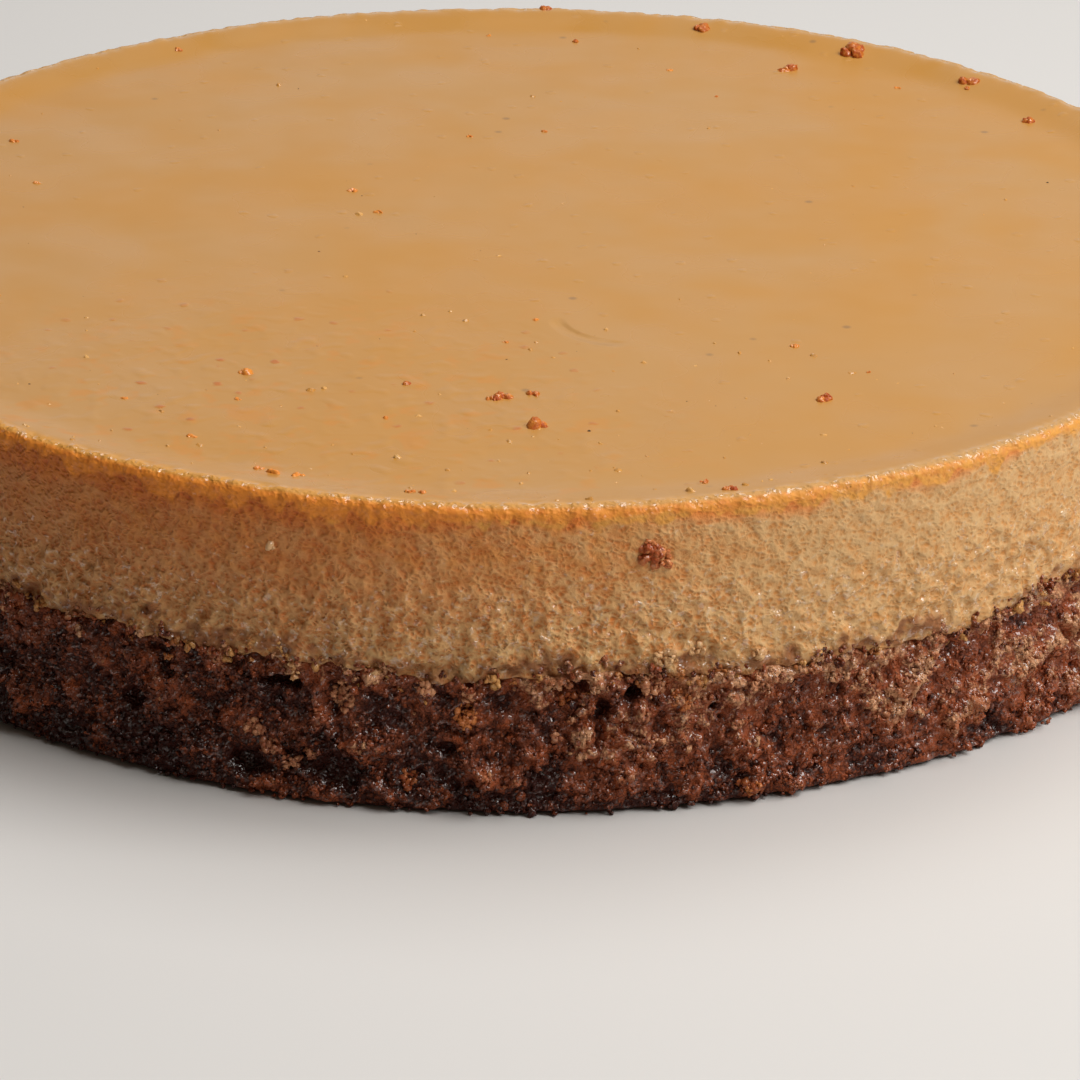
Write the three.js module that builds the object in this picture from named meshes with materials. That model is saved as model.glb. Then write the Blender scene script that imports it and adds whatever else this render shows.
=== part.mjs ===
// A round chocoflan as it is turned out of its tin: a thick caramel flan lying on a moist chocolate sponge.
// Millimetres, +Z up. The origin is the centre of the underside, and -Y is the front of the cake.
// Both layers are turned from a half profile, and then given the unevenness of baked food by waves and lumps.
import * as THREE from "three";

// Driving dimensions.
const CAKE_RADIUS = 119.6; // widest, low on the sponge
const CAKE_HEIGHT = 49.8; // underside to the crest of the flan's rim
const FLAN_SHARE = 0.55; // the flan's share of the height at the side
const LAYER_GAP = 0.3; // clear space between the two solids
const TURNS = 120; // steps round the cake

// Sizes that follow from them.
const SPONGE_HEIGHT = CAKE_HEIGHT * (1 - FLAN_SHARE);
const FLAN_TOP_RADIUS = CAKE_RADIUS * 0.991; // the tin tapers a little
const FLAN_FOOT_RADIUS = CAKE_RADIUS * 0.997;
const SEAM_RADIUS = CAKE_RADIUS - 1.2; // where the rounded edges of both layers turn in to the seam

const RIM_ROUND = 1.3; // radius of the flan's upper edge
const EDGE_ROUND = 1.6; // rounding of both layers where they meet at the side
const LIP_HEIGHT = 0.6; // how far the rim's crest stands above the middle of the flan
const LIP_WIDTH = 12; // width of the slope from the crest to the flat middle
const TUCK_WIDTH = 4; // how far the foot of the sponge curls in under it
const TUCK_HEIGHT = 1.6; // height of that curl

// Waves round the cake: how many lobes, their size in millimetres and their phase in radians.
const OUTLINE_WAVES = [
  { lobes: 2, size: 0.22, phase: 0.4 },
  { lobes: 5, size: 0.16, phase: 2.1 },
  { lobes: 9, size: 0.12, phase: 4.4 },
];
const SEAM_WAVES = [
  { lobes: 3, size: 0.45, phase: 1.9 },
  { lobes: 7, size: 0.35, phase: 6.0 },
  { lobes: 12, size: 0.4, phase: 5.5 },
  { lobes: 19, size: 0.35, phase: 4.4 },
];

// Lumps of crumb and curd: how many round the cake, how tall each is and how far it stands out, in millimetres.
const CRUMB_LUMPS = [
  { round: 48, tall: 7, size: 0.5, seed: 1 },
  { round: 96, tall: 3.6, size: 0.55, seed: 2 },
];
const CURD_LUMPS = [{ round: 40, tall: 9, size: 0.2, seed: 3 }];
const FOOT_LUMPS = [{ round: 60, tall: 50, size: 0.4, seed: 4 }];
const RAGGED_SEAM = [{ round: 80, tall: 50, size: 0.5, seed: 5 }];

// The sum of some waves at an angle round the cake.
function waveAt(waves, angle) {
  return waves.reduce((sum, w) => sum + w.size * Math.sin(w.lobes * angle + w.phase), 0);
}

// A fixed number from -1 to 1 for a corner of the grid that lumps are made on.
function cornerHeight(column, row, seed) {
  const mixed = Math.sin(column * 127.1 + row * 311.7 + seed * 74.7) * 43758.5453;
  return 2 * (mixed - Math.floor(mixed)) - 1;
}

// The sum of some lumps at an angle and height: each is smooth between the corners of its own grid round the side.
function lumpAt(lumps, angle, height) {
  const ease = (t) => t * t * (3 - 2 * t);
  return lumps.reduce((sum, { round, tall, size, seed }) => {
    const across = ((angle / (2 * Math.PI)) * round + round) % round;
    const up = height / tall;
    const column = Math.floor(across);
    const row = Math.floor(up);
    const next = (column + 1) % round;
    const low = THREE.MathUtils.lerp(
      cornerHeight(column, row, seed),
      cornerHeight(next, row, seed),
      ease(across - column),
    );
    const high = THREE.MathUtils.lerp(
      cornerHeight(column, row + 1, seed),
      cornerHeight(next, row + 1, seed),
      ease(across - column),
    );
    return sum + size * THREE.MathUtils.lerp(low, high, ease(up - row));
  }, 0);
}

// How far the seam between the layers stands from its mean height: level in the middle, ragged at the side.
function seamRise(radius, angle) {
  const reach = THREE.MathUtils.smoothstep(radius, CAKE_RADIUS * 0.3, CAKE_RADIUS * 0.98);
  return reach * (waveAt(SEAM_WAVES, angle) + lumpAt(RAGGED_SEAM, angle, 0));
}

// Points {r, z} of a rounded edge about a centre, between two directions given in degrees above the horizontal.
function roundedEdge(centreRadius, centreHeight, size, fromDegrees, toDegrees, steps) {
  return Array.from({ length: steps + 1 }, (_, i) => {
    const turn = THREE.MathUtils.degToRad(THREE.MathUtils.lerp(fromDegrees, toDegrees, i / steps));
    return { r: centreRadius + size * Math.cos(turn), z: centreHeight + size * Math.sin(turn) };
  });
}

// Points {r, z} of a disc's face from one radius to another, spaced evenly, with its height from a function.
function discFace(fromRadius, toRadius, steps, height) {
  return Array.from({ length: steps + 1 }, (_, i) => {
    const r = THREE.MathUtils.lerp(fromRadius, toRadius, i / steps);
    return { r, z: height(r) };
  });
}

// A closed solid turned from a half profile of {r, z, side} that starts and ends on the axis.
// uneven(point, angle) gives the true {r, z} of a profile point at that angle.
function turnedSolid(profile, uneven) {
  const geometry = new THREE.LatheGeometry(
    profile.map((p) => new THREE.Vector2(p.r, p.z)),
    TURNS,
  );
  const position = geometry.getAttribute("position");
  for (let i = 0; i < position.count; i += 1) {
    const turn = Math.floor(i / profile.length) % TURNS;
    const angle = (turn / TURNS) * 2 * Math.PI;
    const { r, z } = uneven(profile[i % profile.length], angle);
    position.setXYZ(i, r * Math.cos(angle), r * Math.sin(angle), z);
  }
  return geometry;
}

// The outline's waves at a radius: they fade away quickly from the side towards the axis.
function outlineAt(radius, angle) {
  return (radius / CAKE_RADIUS) ** 4 * waveAt(OUTLINE_WAVES, angle);
}

// The flan's upper face is a shallow dish: flat in the middle, rising over the lip to the crest of the rim.
function flanTopHeight(radius) {
  const crest = FLAN_TOP_RADIUS - RIM_ROUND;
  const rise = THREE.MathUtils.smoothstep(radius, crest - LIP_WIDTH, crest);
  return CAKE_HEIGHT - LIP_HEIGHT * (1 - rise);
}

// The flan: its underside follows the seam, its side leans in slightly, and its upper edge is rounded.
function flanGeometry() {
  const crest = FLAN_TOP_RADIUS - RIM_ROUND;
  const foot = SPONGE_HEIGHT + LAYER_GAP;
  const underside = discFace(0, SEAM_RADIUS, 4, () => foot);
  const side = [0.03, 0.2, 0.4, 0.6, 0.8].map((share) => ({
    r: THREE.MathUtils.lerp(FLAN_FOOT_RADIUS, FLAN_TOP_RADIUS, share),
    z: THREE.MathUtils.lerp(foot + EDGE_ROUND, CAKE_HEIGHT - RIM_ROUND, share),
    side: 1,
  }));
  const rim = roundedEdge(crest, CAKE_HEIGHT - RIM_ROUND, RIM_ROUND, 0, 90, 3);
  const top = discFace(crest - LIP_WIDTH / 3, 0, 4, flanTopHeight);
  return turnedSolid([...underside, ...side, ...rim, ...top], ({ r, z, side: atSide = 0 }, angle) => ({
    r: r + outlineAt(r, angle) + atSide * lumpAt(CURD_LUMPS, angle, z),
    z: z + ((CAKE_HEIGHT - z) / (CAKE_HEIGHT - foot)) ** 2 * seamRise(r, angle),
  }));
}

// The sponge: flat underneath, curled in at its foot, lumpy at its side, its upper face following the seam.
function spongeGeometry() {
  const flat = CAKE_RADIUS - TUCK_WIDTH;
  const underside = discFace(0, flat, 2, () => 0);
  const tuck = [0.45, 0.8].map((share) => ({
    r: flat + TUCK_WIDTH * share,
    z: TUCK_HEIGHT * share ** 3,
    side: share,
  }));
  const side = [0.14, 0.28, 0.42, 0.56, 0.7, 0.84].map((share) => ({
    r: CAKE_RADIUS,
    z: SPONGE_HEIGHT * share,
    side: 1,
  }));
  const shoulder = roundedEdge(SEAM_RADIUS, SPONGE_HEIGHT - EDGE_ROUND, EDGE_ROUND, 40, 90, 1);
  const top = discFace(SEAM_RADIUS * 0.75, 0, 3, () => SPONGE_HEIGHT);
  return turnedSolid([...underside, ...tuck, ...side, ...shoulder, ...top], ({ r, z, side: atSide = 0 }, angle) => ({
    r: r + outlineAt(r, angle) + atSide * lumpAt(CRUMB_LUMPS, angle, z),
    z: z + (z / SPONGE_HEIGHT) ** 2 * seamRise(r, angle) + atSide * (1 - atSide) * lumpAt(FOOT_LUMPS, angle, 0),
  }));
}

// One layer of the cake as a named mesh with its own material.
function layer(name, geometry, color, roughness) {
  const mesh = new THREE.Mesh(geometry, new THREE.MeshStandardMaterial({ color, roughness, metalness: 0 }));
  mesh.name = name;
  return mesh;
}

const chocoflan = new THREE.Group();
chocoflan.add(layer("chocolate_sponge", spongeGeometry(), 0x4a2a1e, 0.7));
chocoflan.add(layer("caramel_flan", flanGeometry(), 0xc98f4f, 0.35));

export default chocoflan;
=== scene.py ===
"""The looks of a round chocoflan: a caramel flan lying on a moist chocolate sponge, on a pale studio floor.

Lengths in the classes are millimetres, angles are radians unless a name ends in _deg, and meshes are metres.
The cake's axis is Z, its underside is at zero and its front faces -Y.
"""
import itertools
import logging
import math
from dataclasses import dataclass, field
from enum import Enum

import bpy
import numpy as np
from mathutils import Matrix, Vector


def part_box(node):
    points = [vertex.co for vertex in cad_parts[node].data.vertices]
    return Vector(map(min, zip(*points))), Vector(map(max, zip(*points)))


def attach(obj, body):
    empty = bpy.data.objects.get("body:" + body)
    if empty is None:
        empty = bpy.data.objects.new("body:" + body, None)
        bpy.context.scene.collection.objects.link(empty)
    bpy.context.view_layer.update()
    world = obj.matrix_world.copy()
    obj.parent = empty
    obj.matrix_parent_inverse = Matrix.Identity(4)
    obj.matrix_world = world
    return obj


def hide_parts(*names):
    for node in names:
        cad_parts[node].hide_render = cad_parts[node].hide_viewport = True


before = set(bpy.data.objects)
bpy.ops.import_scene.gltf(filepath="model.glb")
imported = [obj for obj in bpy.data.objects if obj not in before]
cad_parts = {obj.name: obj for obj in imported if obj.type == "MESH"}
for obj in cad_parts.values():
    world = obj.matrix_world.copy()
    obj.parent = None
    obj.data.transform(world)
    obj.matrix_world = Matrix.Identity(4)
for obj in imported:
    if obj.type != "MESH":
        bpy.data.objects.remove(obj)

LOG = logging.getLogger("chocoflan")
MM = 0.001
FULL_TURN = 2 * math.pi
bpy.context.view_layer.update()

Array = np.ndarray
Colour = tuple[float, float, float]
Place = tuple[float, float, float]
Rings = tuple[tuple[float, int], ...]
Socket = bpy.types.NodeSocket


class Node(Enum):
    """The frame's two layers."""

    FLAN = "caramel_flan"
    SPONGE = "chocolate_sponge"


# ---------------------------------------------------------------------------------------------------------
# Fields of noise over arrays of points
# ---------------------------------------------------------------------------------------------------------


def smoothstep(values: Array, low: Array | float, high: Array | float) -> Array:
    """An S-shaped ramp, 3t^2 - 2t^3 between its ends.

    Args:
        values: What the ramp is read at.
        low: Where it leaves 0.
        high: Where it reaches 1, which may lie below low.

    Returns:
        Values from 0 to 1.
    """
    share = np.clip((values - low) / (high - low), 0.0, 1.0)
    return share * share * (3.0 - 2.0 * share)


def corner_random(corners: Array, seed: int) -> Array:
    """A fixed random number for each corner of a whole-number lattice.

    The three whole numbers and the seed are multiplied by large primes, joined by exclusive or and mixed.

    Args:
        corners: Lattice corners, shape (..., 3).
        seed: Which of many independent fields.

    Returns:
        Numbers from 0 to 1, shape (...).
    """
    whole = corners.astype(np.int64).astype(np.uint64)
    mixed = whole[..., 0] * np.uint64(73856093) ^ whole[..., 1] * np.uint64(19349663)
    mixed = mixed ^ whole[..., 2] * np.uint64(83492791) ^ np.uint64(seed * 2654435761 + 97)
    for shift in (33, 29, 32):
        mixed = (mixed ^ (mixed >> np.uint64(shift))) * np.uint64(0xFF51AFD7ED558CCD)
    return (mixed >> np.uint64(40)).astype(np.float64) / float(1 << 24)


TILT = np.array([[0.36, 0.48, -0.80], [-0.80, 0.60, 0.0], [0.48, 0.64, 0.60]])  # turns a lattice off the axes


def lattice_noise(points: Array, cell: float | Place, seed: int) -> Array:
    """Smooth noise: random values on a tilted cubic lattice, blended between its corners by an S-shaped ramp.

    Args:
        points: Positions, shape (..., 3).
        cell: Spacing of the lattice, or one spacing for each axis.
        seed: Which of many independent fields.

    Returns:
        Values from -1 to 1, shape (...).
    """
    scaled = (points / np.asarray(cell, dtype=float)) @ TILT
    base = np.floor(scaled)
    ease = scaled - base
    ease = ease * ease * (3.0 - 2.0 * ease)
    total = np.zeros(scaled.shape[:-1])
    for step in itertools.product((0, 1), repeat=3):
        weight = np.prod(np.where(np.array(step) == 1, ease, 1.0 - ease), axis=-1)
        total += weight * corner_random(base + np.array(step), seed)
    return 2.0 * total - 1.0


def layered_noise(points: Array, cell: float, octaves: int, seed: int) -> Array:
    """The sum of octaves of lattice noise, each half as wide and half as strong as the one before it.

    Args:
        points: Positions, shape (..., 3).
        cell: Spacing of the widest octave's lattice.
        octaves: How many are added.
        seed: Which of many independent fields.

    Returns:
        Values from -1 to 1, shape (...).
    """
    strengths = [0.5**octave for octave in range(octaves)]
    layers = [
        strength * lattice_noise(points, cell * strength, seed + 31 * octave)
        for octave, strength in enumerate(strengths)
    ]
    return np.sum(layers, axis=0) / sum(strengths)


def nearest_grain(points: Array, cell: float | Place, seed: int) -> Array:
    """How far the nearest grain is, of grains scattered one to a cell of a cubic lattice.

    Args:
        points: Positions, shape (..., 3).
        cell: Spacing of the lattice, or one spacing for each axis.
        seed: Which of many independent fields.

    Returns:
        The distance to the nearest grain, in cells.
    """
    scaled = points / np.asarray(cell, dtype=float)
    base = np.floor(scaled)
    nearest = np.full(scaled.shape[:-1], np.inf)
    for step in itertools.product((-1, 0, 1), repeat=3):
        corner = base + np.array(step)
        grain = corner + np.stack([corner_random(corner, seed + axis) for axis in (1, 2, 3)], axis=-1)
        nearest = np.minimum(nearest, np.linalg.norm(scaled - grain, axis=-1))
    return nearest


def stirred(points: Array, width: float, amount: float, seed: int) -> Array:
    """The points, each axis shifted by its own lattice noise.

    Args:
        points: Positions, shape (..., 3).
        width: Spacing of the noise.
        amount: The largest shift, either way.
        seed: Which of many independent fields.

    Returns:
        The shifted positions.
    """
    shifts = [lattice_noise(points, width, seed + axis) for axis in range(3)]
    return points + amount * np.stack(shifts, axis=-1)


def around(radius: Array | float, angle: Array, height: Array) -> Array:
    """Positions on circles about the cake's axis.

    Args:
        radius: Distance from the axis.
        angle: Angle round it.
        height: Height above the floor.

    Returns:
        Positions, shape (..., 3).
    """
    radius, angle, height = np.broadcast_arrays(radius, angle, height)
    return np.stack([radius * np.cos(angle), radius * np.sin(angle), height], axis=-1)


def ring_angles(count: int, crowding: float = 0.3) -> Array:
    """Angles round the cake, closer together at the front, where the finest detail is seen.

    Even steps counted from the front, less the crowding times their sine.

    Args:
        count: How many.
        crowding: Share by which the steps are shorter at the front and longer at the back.

    Returns:
        The angles.
    """
    even = FULL_TURN * np.arange(count) / count
    return even - crowding * np.sin(even) - math.pi / 2


# ---------------------------------------------------------------------------------------------------------
# Meshes
# ---------------------------------------------------------------------------------------------------------


def ring_faces(first: int, second: int, first_count: int, second_count: int) -> list[list[int]]:
    """Faces between two rings of vertices, of which one may have half as many vertices as the other.

    Equal rings are joined by quads. Where the count halves, each long edge is joined to two short ones by
    three triangles. A ring of one vertex is a pole, joined by a fan.

    Args:
        first: Index of the first vertex of the lower ring.
        second: Index of the first vertex of the upper ring.
        first_count: Vertices in the lower ring.
        second_count: Vertices in the upper ring.

    Returns:
        Faces that point away from the axis when the second ring is the upper one.
    """
    if first_count == 1 or second_count == 1:
        count = max(first_count, second_count)
        here = np.arange(count)
        after = (here + 1) % count
        if first_count == 1:
            return np.stack([np.full(count, first), second + after, second + here], axis=1).tolist()
        return np.stack([first + here, first + after, np.full(count, second)], axis=1).tolist()
    if first_count == second_count:
        here = np.arange(first_count)
        after = (here + 1) % first_count
        return np.stack([first + here, first + after, second + after, second + here], axis=1).tolist()
    few = min(first_count, second_count)
    here = np.arange(few)
    after = (here + 1) % few
    start, middle, end = 2 * here, 2 * here + 1, (2 * here + 2) % (2 * few)
    if first_count > second_count:
        corners = [
            (first + start, first + middle, second + here),
            (first + middle, second + after, second + here),
            (first + middle, first + end, second + after),
        ]
    else:
        corners = [
            (first + here, second + middle, second + start),
            (first + here, first + after, second + middle),
            (first + after, second + end, second + middle),
        ]
    return np.concatenate([np.stack(corner, axis=1) for corner in corners]).tolist()


def settle(piece: bpy.types.Object, layer: Node, *materials: bpy.types.Material) -> bpy.types.Object:
    """Dresses a piece and makes it ride with the cake.

    Args:
        piece: The piece.
        layer: The layer that it belongs to; not used.
        materials: Its finishes, in the order of the mesh's material numbers.

    Returns:
        The same piece.
    """
    for material in materials:
        piece.data.materials.append(material)
    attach(piece, "root")
    return piece


def make_mesh(
    name: str, points_mm: Array, faces: list[list[int]], marks: dict[str, Array]
) -> bpy.types.Object:
    """Puts a smooth-shaded mesh at the origin of the scene.

    Args:
        name: The piece's name.
        points_mm: Vertices in millimetres, shape (count, 3).
        faces: Vertex numbers of each face.
        marks: A value for each vertex, by the name of the attribute that the finish reads.

    Returns:
        The object.
    """
    mesh = bpy.data.meshes.new(name)
    mesh.from_pydata((points_mm * MM).tolist(), [], faces)
    mesh.polygons.foreach_set("use_smooth", np.ones(len(faces), dtype=bool))
    for mark, values in marks.items():
        attribute = mesh.attributes.new(mark, "FLOAT", "POINT")
        attribute.data.foreach_set("value", values.astype(np.float32))
    mesh.update()
    piece = bpy.data.objects.new(name, mesh)
    bpy.context.collection.objects.link(piece)
    return piece


@dataclass
class RingStack:
    """A closed skin of rings about the axis, from its lower pole to its upper one."""

    points: list[Array] = field(default_factory=list)
    marks: list[dict[str, Array]] = field(default_factory=list)

    def add(self, points: Array, **marks: Array | float) -> None:
        """Adds a ring.

        Args:
            points: The ring's vertices, shape (count, 3), in the order of their angle.
            marks: The ring's attribute values, one for all its vertices or one each.
        """
        self.points.append(points)
        self.marks.append({mark: np.broadcast_to(value, len(points)) for mark, value in marks.items()})

    def build(self, name: str) -> bpy.types.Object:
        """Joins each ring to the next and makes the object.

        Args:
            name: The piece's name.

        Returns:
            The object.
        """
        starts = np.concatenate([[0], np.cumsum([len(ring) for ring in self.points])]).astype(int)
        faces: list[list[int]] = []
        for lower, (start, upper) in enumerate(zip(starts[:-2], starts[1:-1])):
            faces += ring_faces(int(start), int(upper), len(self.points[lower]), len(self.points[lower + 1]))
        marks = {mark: np.concatenate([ring[mark] for ring in self.marks]) for mark in self.marks[0]}
        return make_mesh(name, np.concatenate(self.points), faces, marks)


def lump_template(rows: int, columns: int) -> tuple[Array, Array]:
    """A ball of radius 1 with a vertex at each pole, as vertices and triangles.

    Args:
        rows: Rings of vertices between the poles.
        columns: Vertices in each ring.

    Returns:
        Vertices, shape (rows * columns + 2, 3), and triangles that point outwards.
    """
    tilt = math.pi * (np.arange(rows) + 1) / (rows + 1)
    turn = FULL_TURN * np.arange(columns) / columns
    tilt, turn = np.meshgrid(tilt, turn, indexing="ij")
    ball = np.stack([np.sin(tilt) * np.cos(turn), np.sin(tilt) * np.sin(turn), np.cos(tilt)], axis=-1)
    points = np.concatenate([ball.reshape(-1, 3), [[0, 0, 1], [0, 0, -1]]])
    top, bottom = rows * columns, rows * columns + 1
    here = np.arange(columns)
    after = (here + 1) % columns
    faces = [np.stack([np.full(columns, top), here, after], axis=1)]
    for row in range(rows - 1):
        upper, lower = row * columns, (row + 1) * columns
        faces.append(np.stack([upper + here, lower + here, lower + after], axis=1))
        faces.append(np.stack([upper + here, lower + after, upper + after], axis=1))
    last = (rows - 1) * columns
    faces.append(np.stack([last + here, np.full(columns, bottom), last + after], axis=1))
    return points, np.concatenate(faces)


def random_turns(count: int, random: np.random.Generator) -> Array:
    """Turns in every direction alike, from random unit quaternions.

    Args:
        count: How many.
        random: Where the random numbers come from.

    Returns:
        Rotation matrices, shape (count, 3, 3).
    """
    quaternions = random.normal(size=(count, 4))
    w, x, y, z = (quaternions / np.linalg.norm(quaternions, axis=1, keepdims=True)).T
    rows = [
        [1 - 2 * (y * y + z * z), 2 * (x * y - z * w), 2 * (x * z + y * w)],
        [2 * (x * y + z * w), 1 - 2 * (x * x + z * z), 2 * (y * z - x * w)],
        [2 * (x * z - y * w), 2 * (y * z + x * w), 1 - 2 * (x * x + y * y)],
    ]
    return np.moveaxis(np.array(rows), -1, 0)


@dataclass(frozen=True)
class LumpShape:
    """How a kind of crumb is shaped."""

    rows: int = 4
    columns: int = 7
    roughness: float = 0.22  # how far vertices stray from the ball, in radii
    slimness: float = 0.3  # how far the three axes differ, in radii

    def scatter(self, name: str, centres: Array, radii: Array, tones: Array, seed: int) -> bpy.types.Object:
        """Joins one lump for each centre into one mesh: a ball, stretched, roughened and turned at random.

        Args:
            name: The piece's name.
            centres: Where the lumps are, shape (count, 3).
            radii: Their mean radii.
            tones: Their tones, from 0 to 1, for the finish to read as the attribute "tone".
            seed: Which random draw.

        Returns:
            The object.
        """
        random = np.random.default_rng(seed)
        ball, triangles = lump_template(self.rows, self.columns)
        count = len(centres)
        stretch = 1 + self.slimness * random.uniform(-1, 1, (count, 1, 3))
        stray = 1 + self.roughness * random.uniform(-1, 1, (count, len(ball), 1))
        lumps = np.einsum("nij,nvj->nvi", random_turns(count, random), ball * stretch * stray)
        points = (centres[:, None] + lumps * radii[:, None, None]).reshape(-1, 3)
        faces = (triangles + len(ball) * np.arange(count)[:, None, None]).reshape(-1, 3)
        wet = smoothstep(lumps[:, :, 2].ravel(), 0.0, 0.5)
        return make_mesh(name, points, faces.tolist(), {"tone": np.repeat(tones, len(ball)), "wet": wet})


# ---------------------------------------------------------------------------------------------------------
# Finishes
# ---------------------------------------------------------------------------------------------------------


class Bench:
    """Builds the nodes of one material. Values may be sockets or plain numbers. Lengths are millimetres."""

    def __init__(self, name: str) -> None:
        """Starts an empty material with a Principled shader.

        Args:
            name: The material's name.
        """
        self.material = bpy.data.materials.new(name)
        self.material.use_nodes = True
        self.tree = self.material.node_tree
        self.tree.nodes.clear()
        output = self.tree.nodes.new("ShaderNodeOutputMaterial")
        self.shader = self.tree.nodes.new("ShaderNodeBsdfPrincipled")
        self.tree.links.new(self.shader.outputs["BSDF"], output.inputs["Surface"])
        place = self.tree.nodes.new("ShaderNodeTexCoord").outputs["Object"]
        self.place = self.vector("SCALE", place, scale=1 / MM)

    def feed(self, socket: Socket, value: Socket | float | tuple) -> None:
        """Links a socket into another, or sets the other's own value.

        Args:
            socket: The socket to feed.
            value: A socket to link from, or a plain value. A colour gets an alpha of 1.
        """
        if isinstance(value, bpy.types.NodeSocket):
            self.tree.links.new(value, socket)
        elif socket.type == "RGBA" and isinstance(value, tuple):
            socket.default_value = (*value, 1.0)
        else:
            socket.default_value = value

    def vector(self, operation: str, *values: Socket | tuple, scale: float | None = None) -> Socket:
        """A Vector Math node.

        Args:
            operation: What it does.
            values: Its vectors, in order.
            scale: By how much, where it scales.

        Returns:
            The resulting vector.
        """
        node = self.tree.nodes.new("ShaderNodeVectorMath")
        node.operation = operation
        for socket, value in zip(node.inputs, values):
            self.feed(socket, value)
        if scale is not None:
            node.inputs["Scale"].default_value = scale
        return node.outputs["Vector"]

    def math(self, operation: str, *values: Socket | float) -> Socket:
        """A Math node.

        Args:
            operation: What it does.
            values: Its values, in order.

        Returns:
            The result.
        """
        node = self.tree.nodes.new("ShaderNodeMath")
        node.operation = operation
        for socket, value in zip(node.inputs, values):
            self.feed(socket, value)
        return node.outputs["Value"]

    def ramp(self, value: Socket, low: float, high: float, start: float = 0.0, end: float = 1.0) -> Socket:
        """A smooth ramp.

        Args:
            value: What it is read at.
            low: Where the ramp begins.
            high: Where it ends, which may lie below low.
            start: Its result up to low.
            end: Its result from high.

        Returns:
            The ramp's value.
        """
        node = self.tree.nodes.new("ShaderNodeMapRange")
        node.interpolation_type = "SMOOTHSTEP"
        for name, setting in (("From Min", low), ("From Max", high), ("To Min", start), ("To Max", end)):
            node.inputs[name].default_value = setting
        self.feed(node.inputs["Value"], value)
        return node.outputs["Result"]

    def mix(self, share: Socket | float, first: Socket | Colour, second: Socket | Colour) -> Socket:
        """A Mix node for colours.

        Args:
            share: How much of the second colour.
            first: The colour at share 0.
            second: The colour at share 1.

        Returns:
            The mixed colour.
        """
        node = self.tree.nodes.new("ShaderNodeMix")
        node.data_type = "RGBA"
        self.feed(node.inputs["Factor"], share)
        self.feed(node.inputs[6], first)
        self.feed(node.inputs[7], second)
        return node.outputs[2]

    def blend(self, share: Socket, first: Socket | float, second: Socket | float) -> Socket:
        """A Mix node for plain values.

        Args:
            share: How much of the second value.
            first: The value at share 0.
            second: The value at share 1.

        Returns:
            The mixed value.
        """
        node = self.tree.nodes.new("ShaderNodeMix")
        for name, value in (("Factor", share), ("A", first), ("B", second)):
            self.feed(node.inputs[name], value)
        return node.outputs["Result"]

    def noise(self, width: float, detail: float = 2.0, rough: float = 0.5, twist: float = 0.0) -> Socket:
        """Cloudy noise about 0.5.

        Args:
            width: Size of its largest features.
            detail: Finer octaves.
            rough: How strong those are.
            twist: How far it is distorted.

        Returns:
            The noise's value.
        """
        node = self.tree.nodes.new("ShaderNodeTexNoise")
        self.feed(node.inputs["Vector"], self.place)
        node.inputs["Scale"].default_value = 1 / width
        node.inputs["Detail"].default_value = detail
        node.inputs["Roughness"].default_value = rough
        node.inputs["Distortion"].default_value = twist
        return node.outputs["Fac"]

    def cells(self, width: float, place: Socket | None = None) -> Socket:
        """Distance from the middle of the nearest of many cells, each with its middle at a random place.

        Args:
            width: Size of a cell.
            place: Where it is read, if not at the plain place.

        Returns:
            The distance, in cells.
        """
        node = self.tree.nodes.new("ShaderNodeTexVoronoi")
        self.feed(node.inputs["Vector"], place or self.place)
        node.inputs["Scale"].default_value = 1 / width
        return node.outputs["Distance"]

    def pits(self, width: float, place: Socket, least: float, most: float) -> Socket:
        """Round pits of random sizes, one to a cell, each a soft bowl that fades out at its rim.

        Args:
            width: Size of a cell.
            place: Where it is read.
            least: Radius of the smallest pit, in cells.
            most: Radius of the largest.

        Returns:
            1 in the middle of a pit and 0 outside all of them.
        """
        node = self.tree.nodes.new("ShaderNodeTexVoronoi")
        self.feed(node.inputs["Vector"], place)
        node.inputs["Scale"].default_value = 1 / width
        radius = self.math("MULTIPLY_ADD", node.outputs["Color"], most - least, least)
        return self.ramp(self.math("DIVIDE", node.outputs["Distance"], radius), 1.0, 0.1)

    def wobbled(self, width: float, amount: float) -> Socket:
        """The place, shifted by noise.

        Args:
            width: Size of the noise's features.
            amount: Twice the largest shift.

        Returns:
            The shifted place.
        """
        node = self.tree.nodes.new("ShaderNodeTexNoise")
        self.feed(node.inputs["Vector"], self.place)
        node.inputs["Scale"].default_value = 1 / width
        node.inputs["Detail"].default_value = 0.0
        shift = self.vector("SUBTRACT", node.outputs["Color"], (0.5, 0.5, 0.5))
        return self.vector("ADD", self.place, self.vector("SCALE", shift, scale=amount))

    def distance(self, centre: Place) -> Socket:
        """Distance from a point.

        Args:
            centre: The point.

        Returns:
            The distance.
        """
        node = self.tree.nodes.new("ShaderNodeVectorMath")
        node.operation = "DISTANCE"
        self.feed(node.inputs[0], self.place)
        self.feed(node.inputs[1], centre)
        return node.outputs["Value"]

    def mark(self, name: str) -> Socket:
        """A value that the mesh carries.

        Args:
            name: The attribute's name.

        Returns:
            The value.
        """
        node = self.tree.nodes.new("ShaderNodeAttribute")
        node.attribute_name = name
        return node.outputs["Fac"]

    def height(self) -> Socket:
        """Height above the floor.

        Returns:
            The height.
        """
        node = self.tree.nodes.new("ShaderNodeSeparateXYZ")
        self.feed(node.inputs["Vector"], self.place)
        return node.outputs["Z"]

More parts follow.
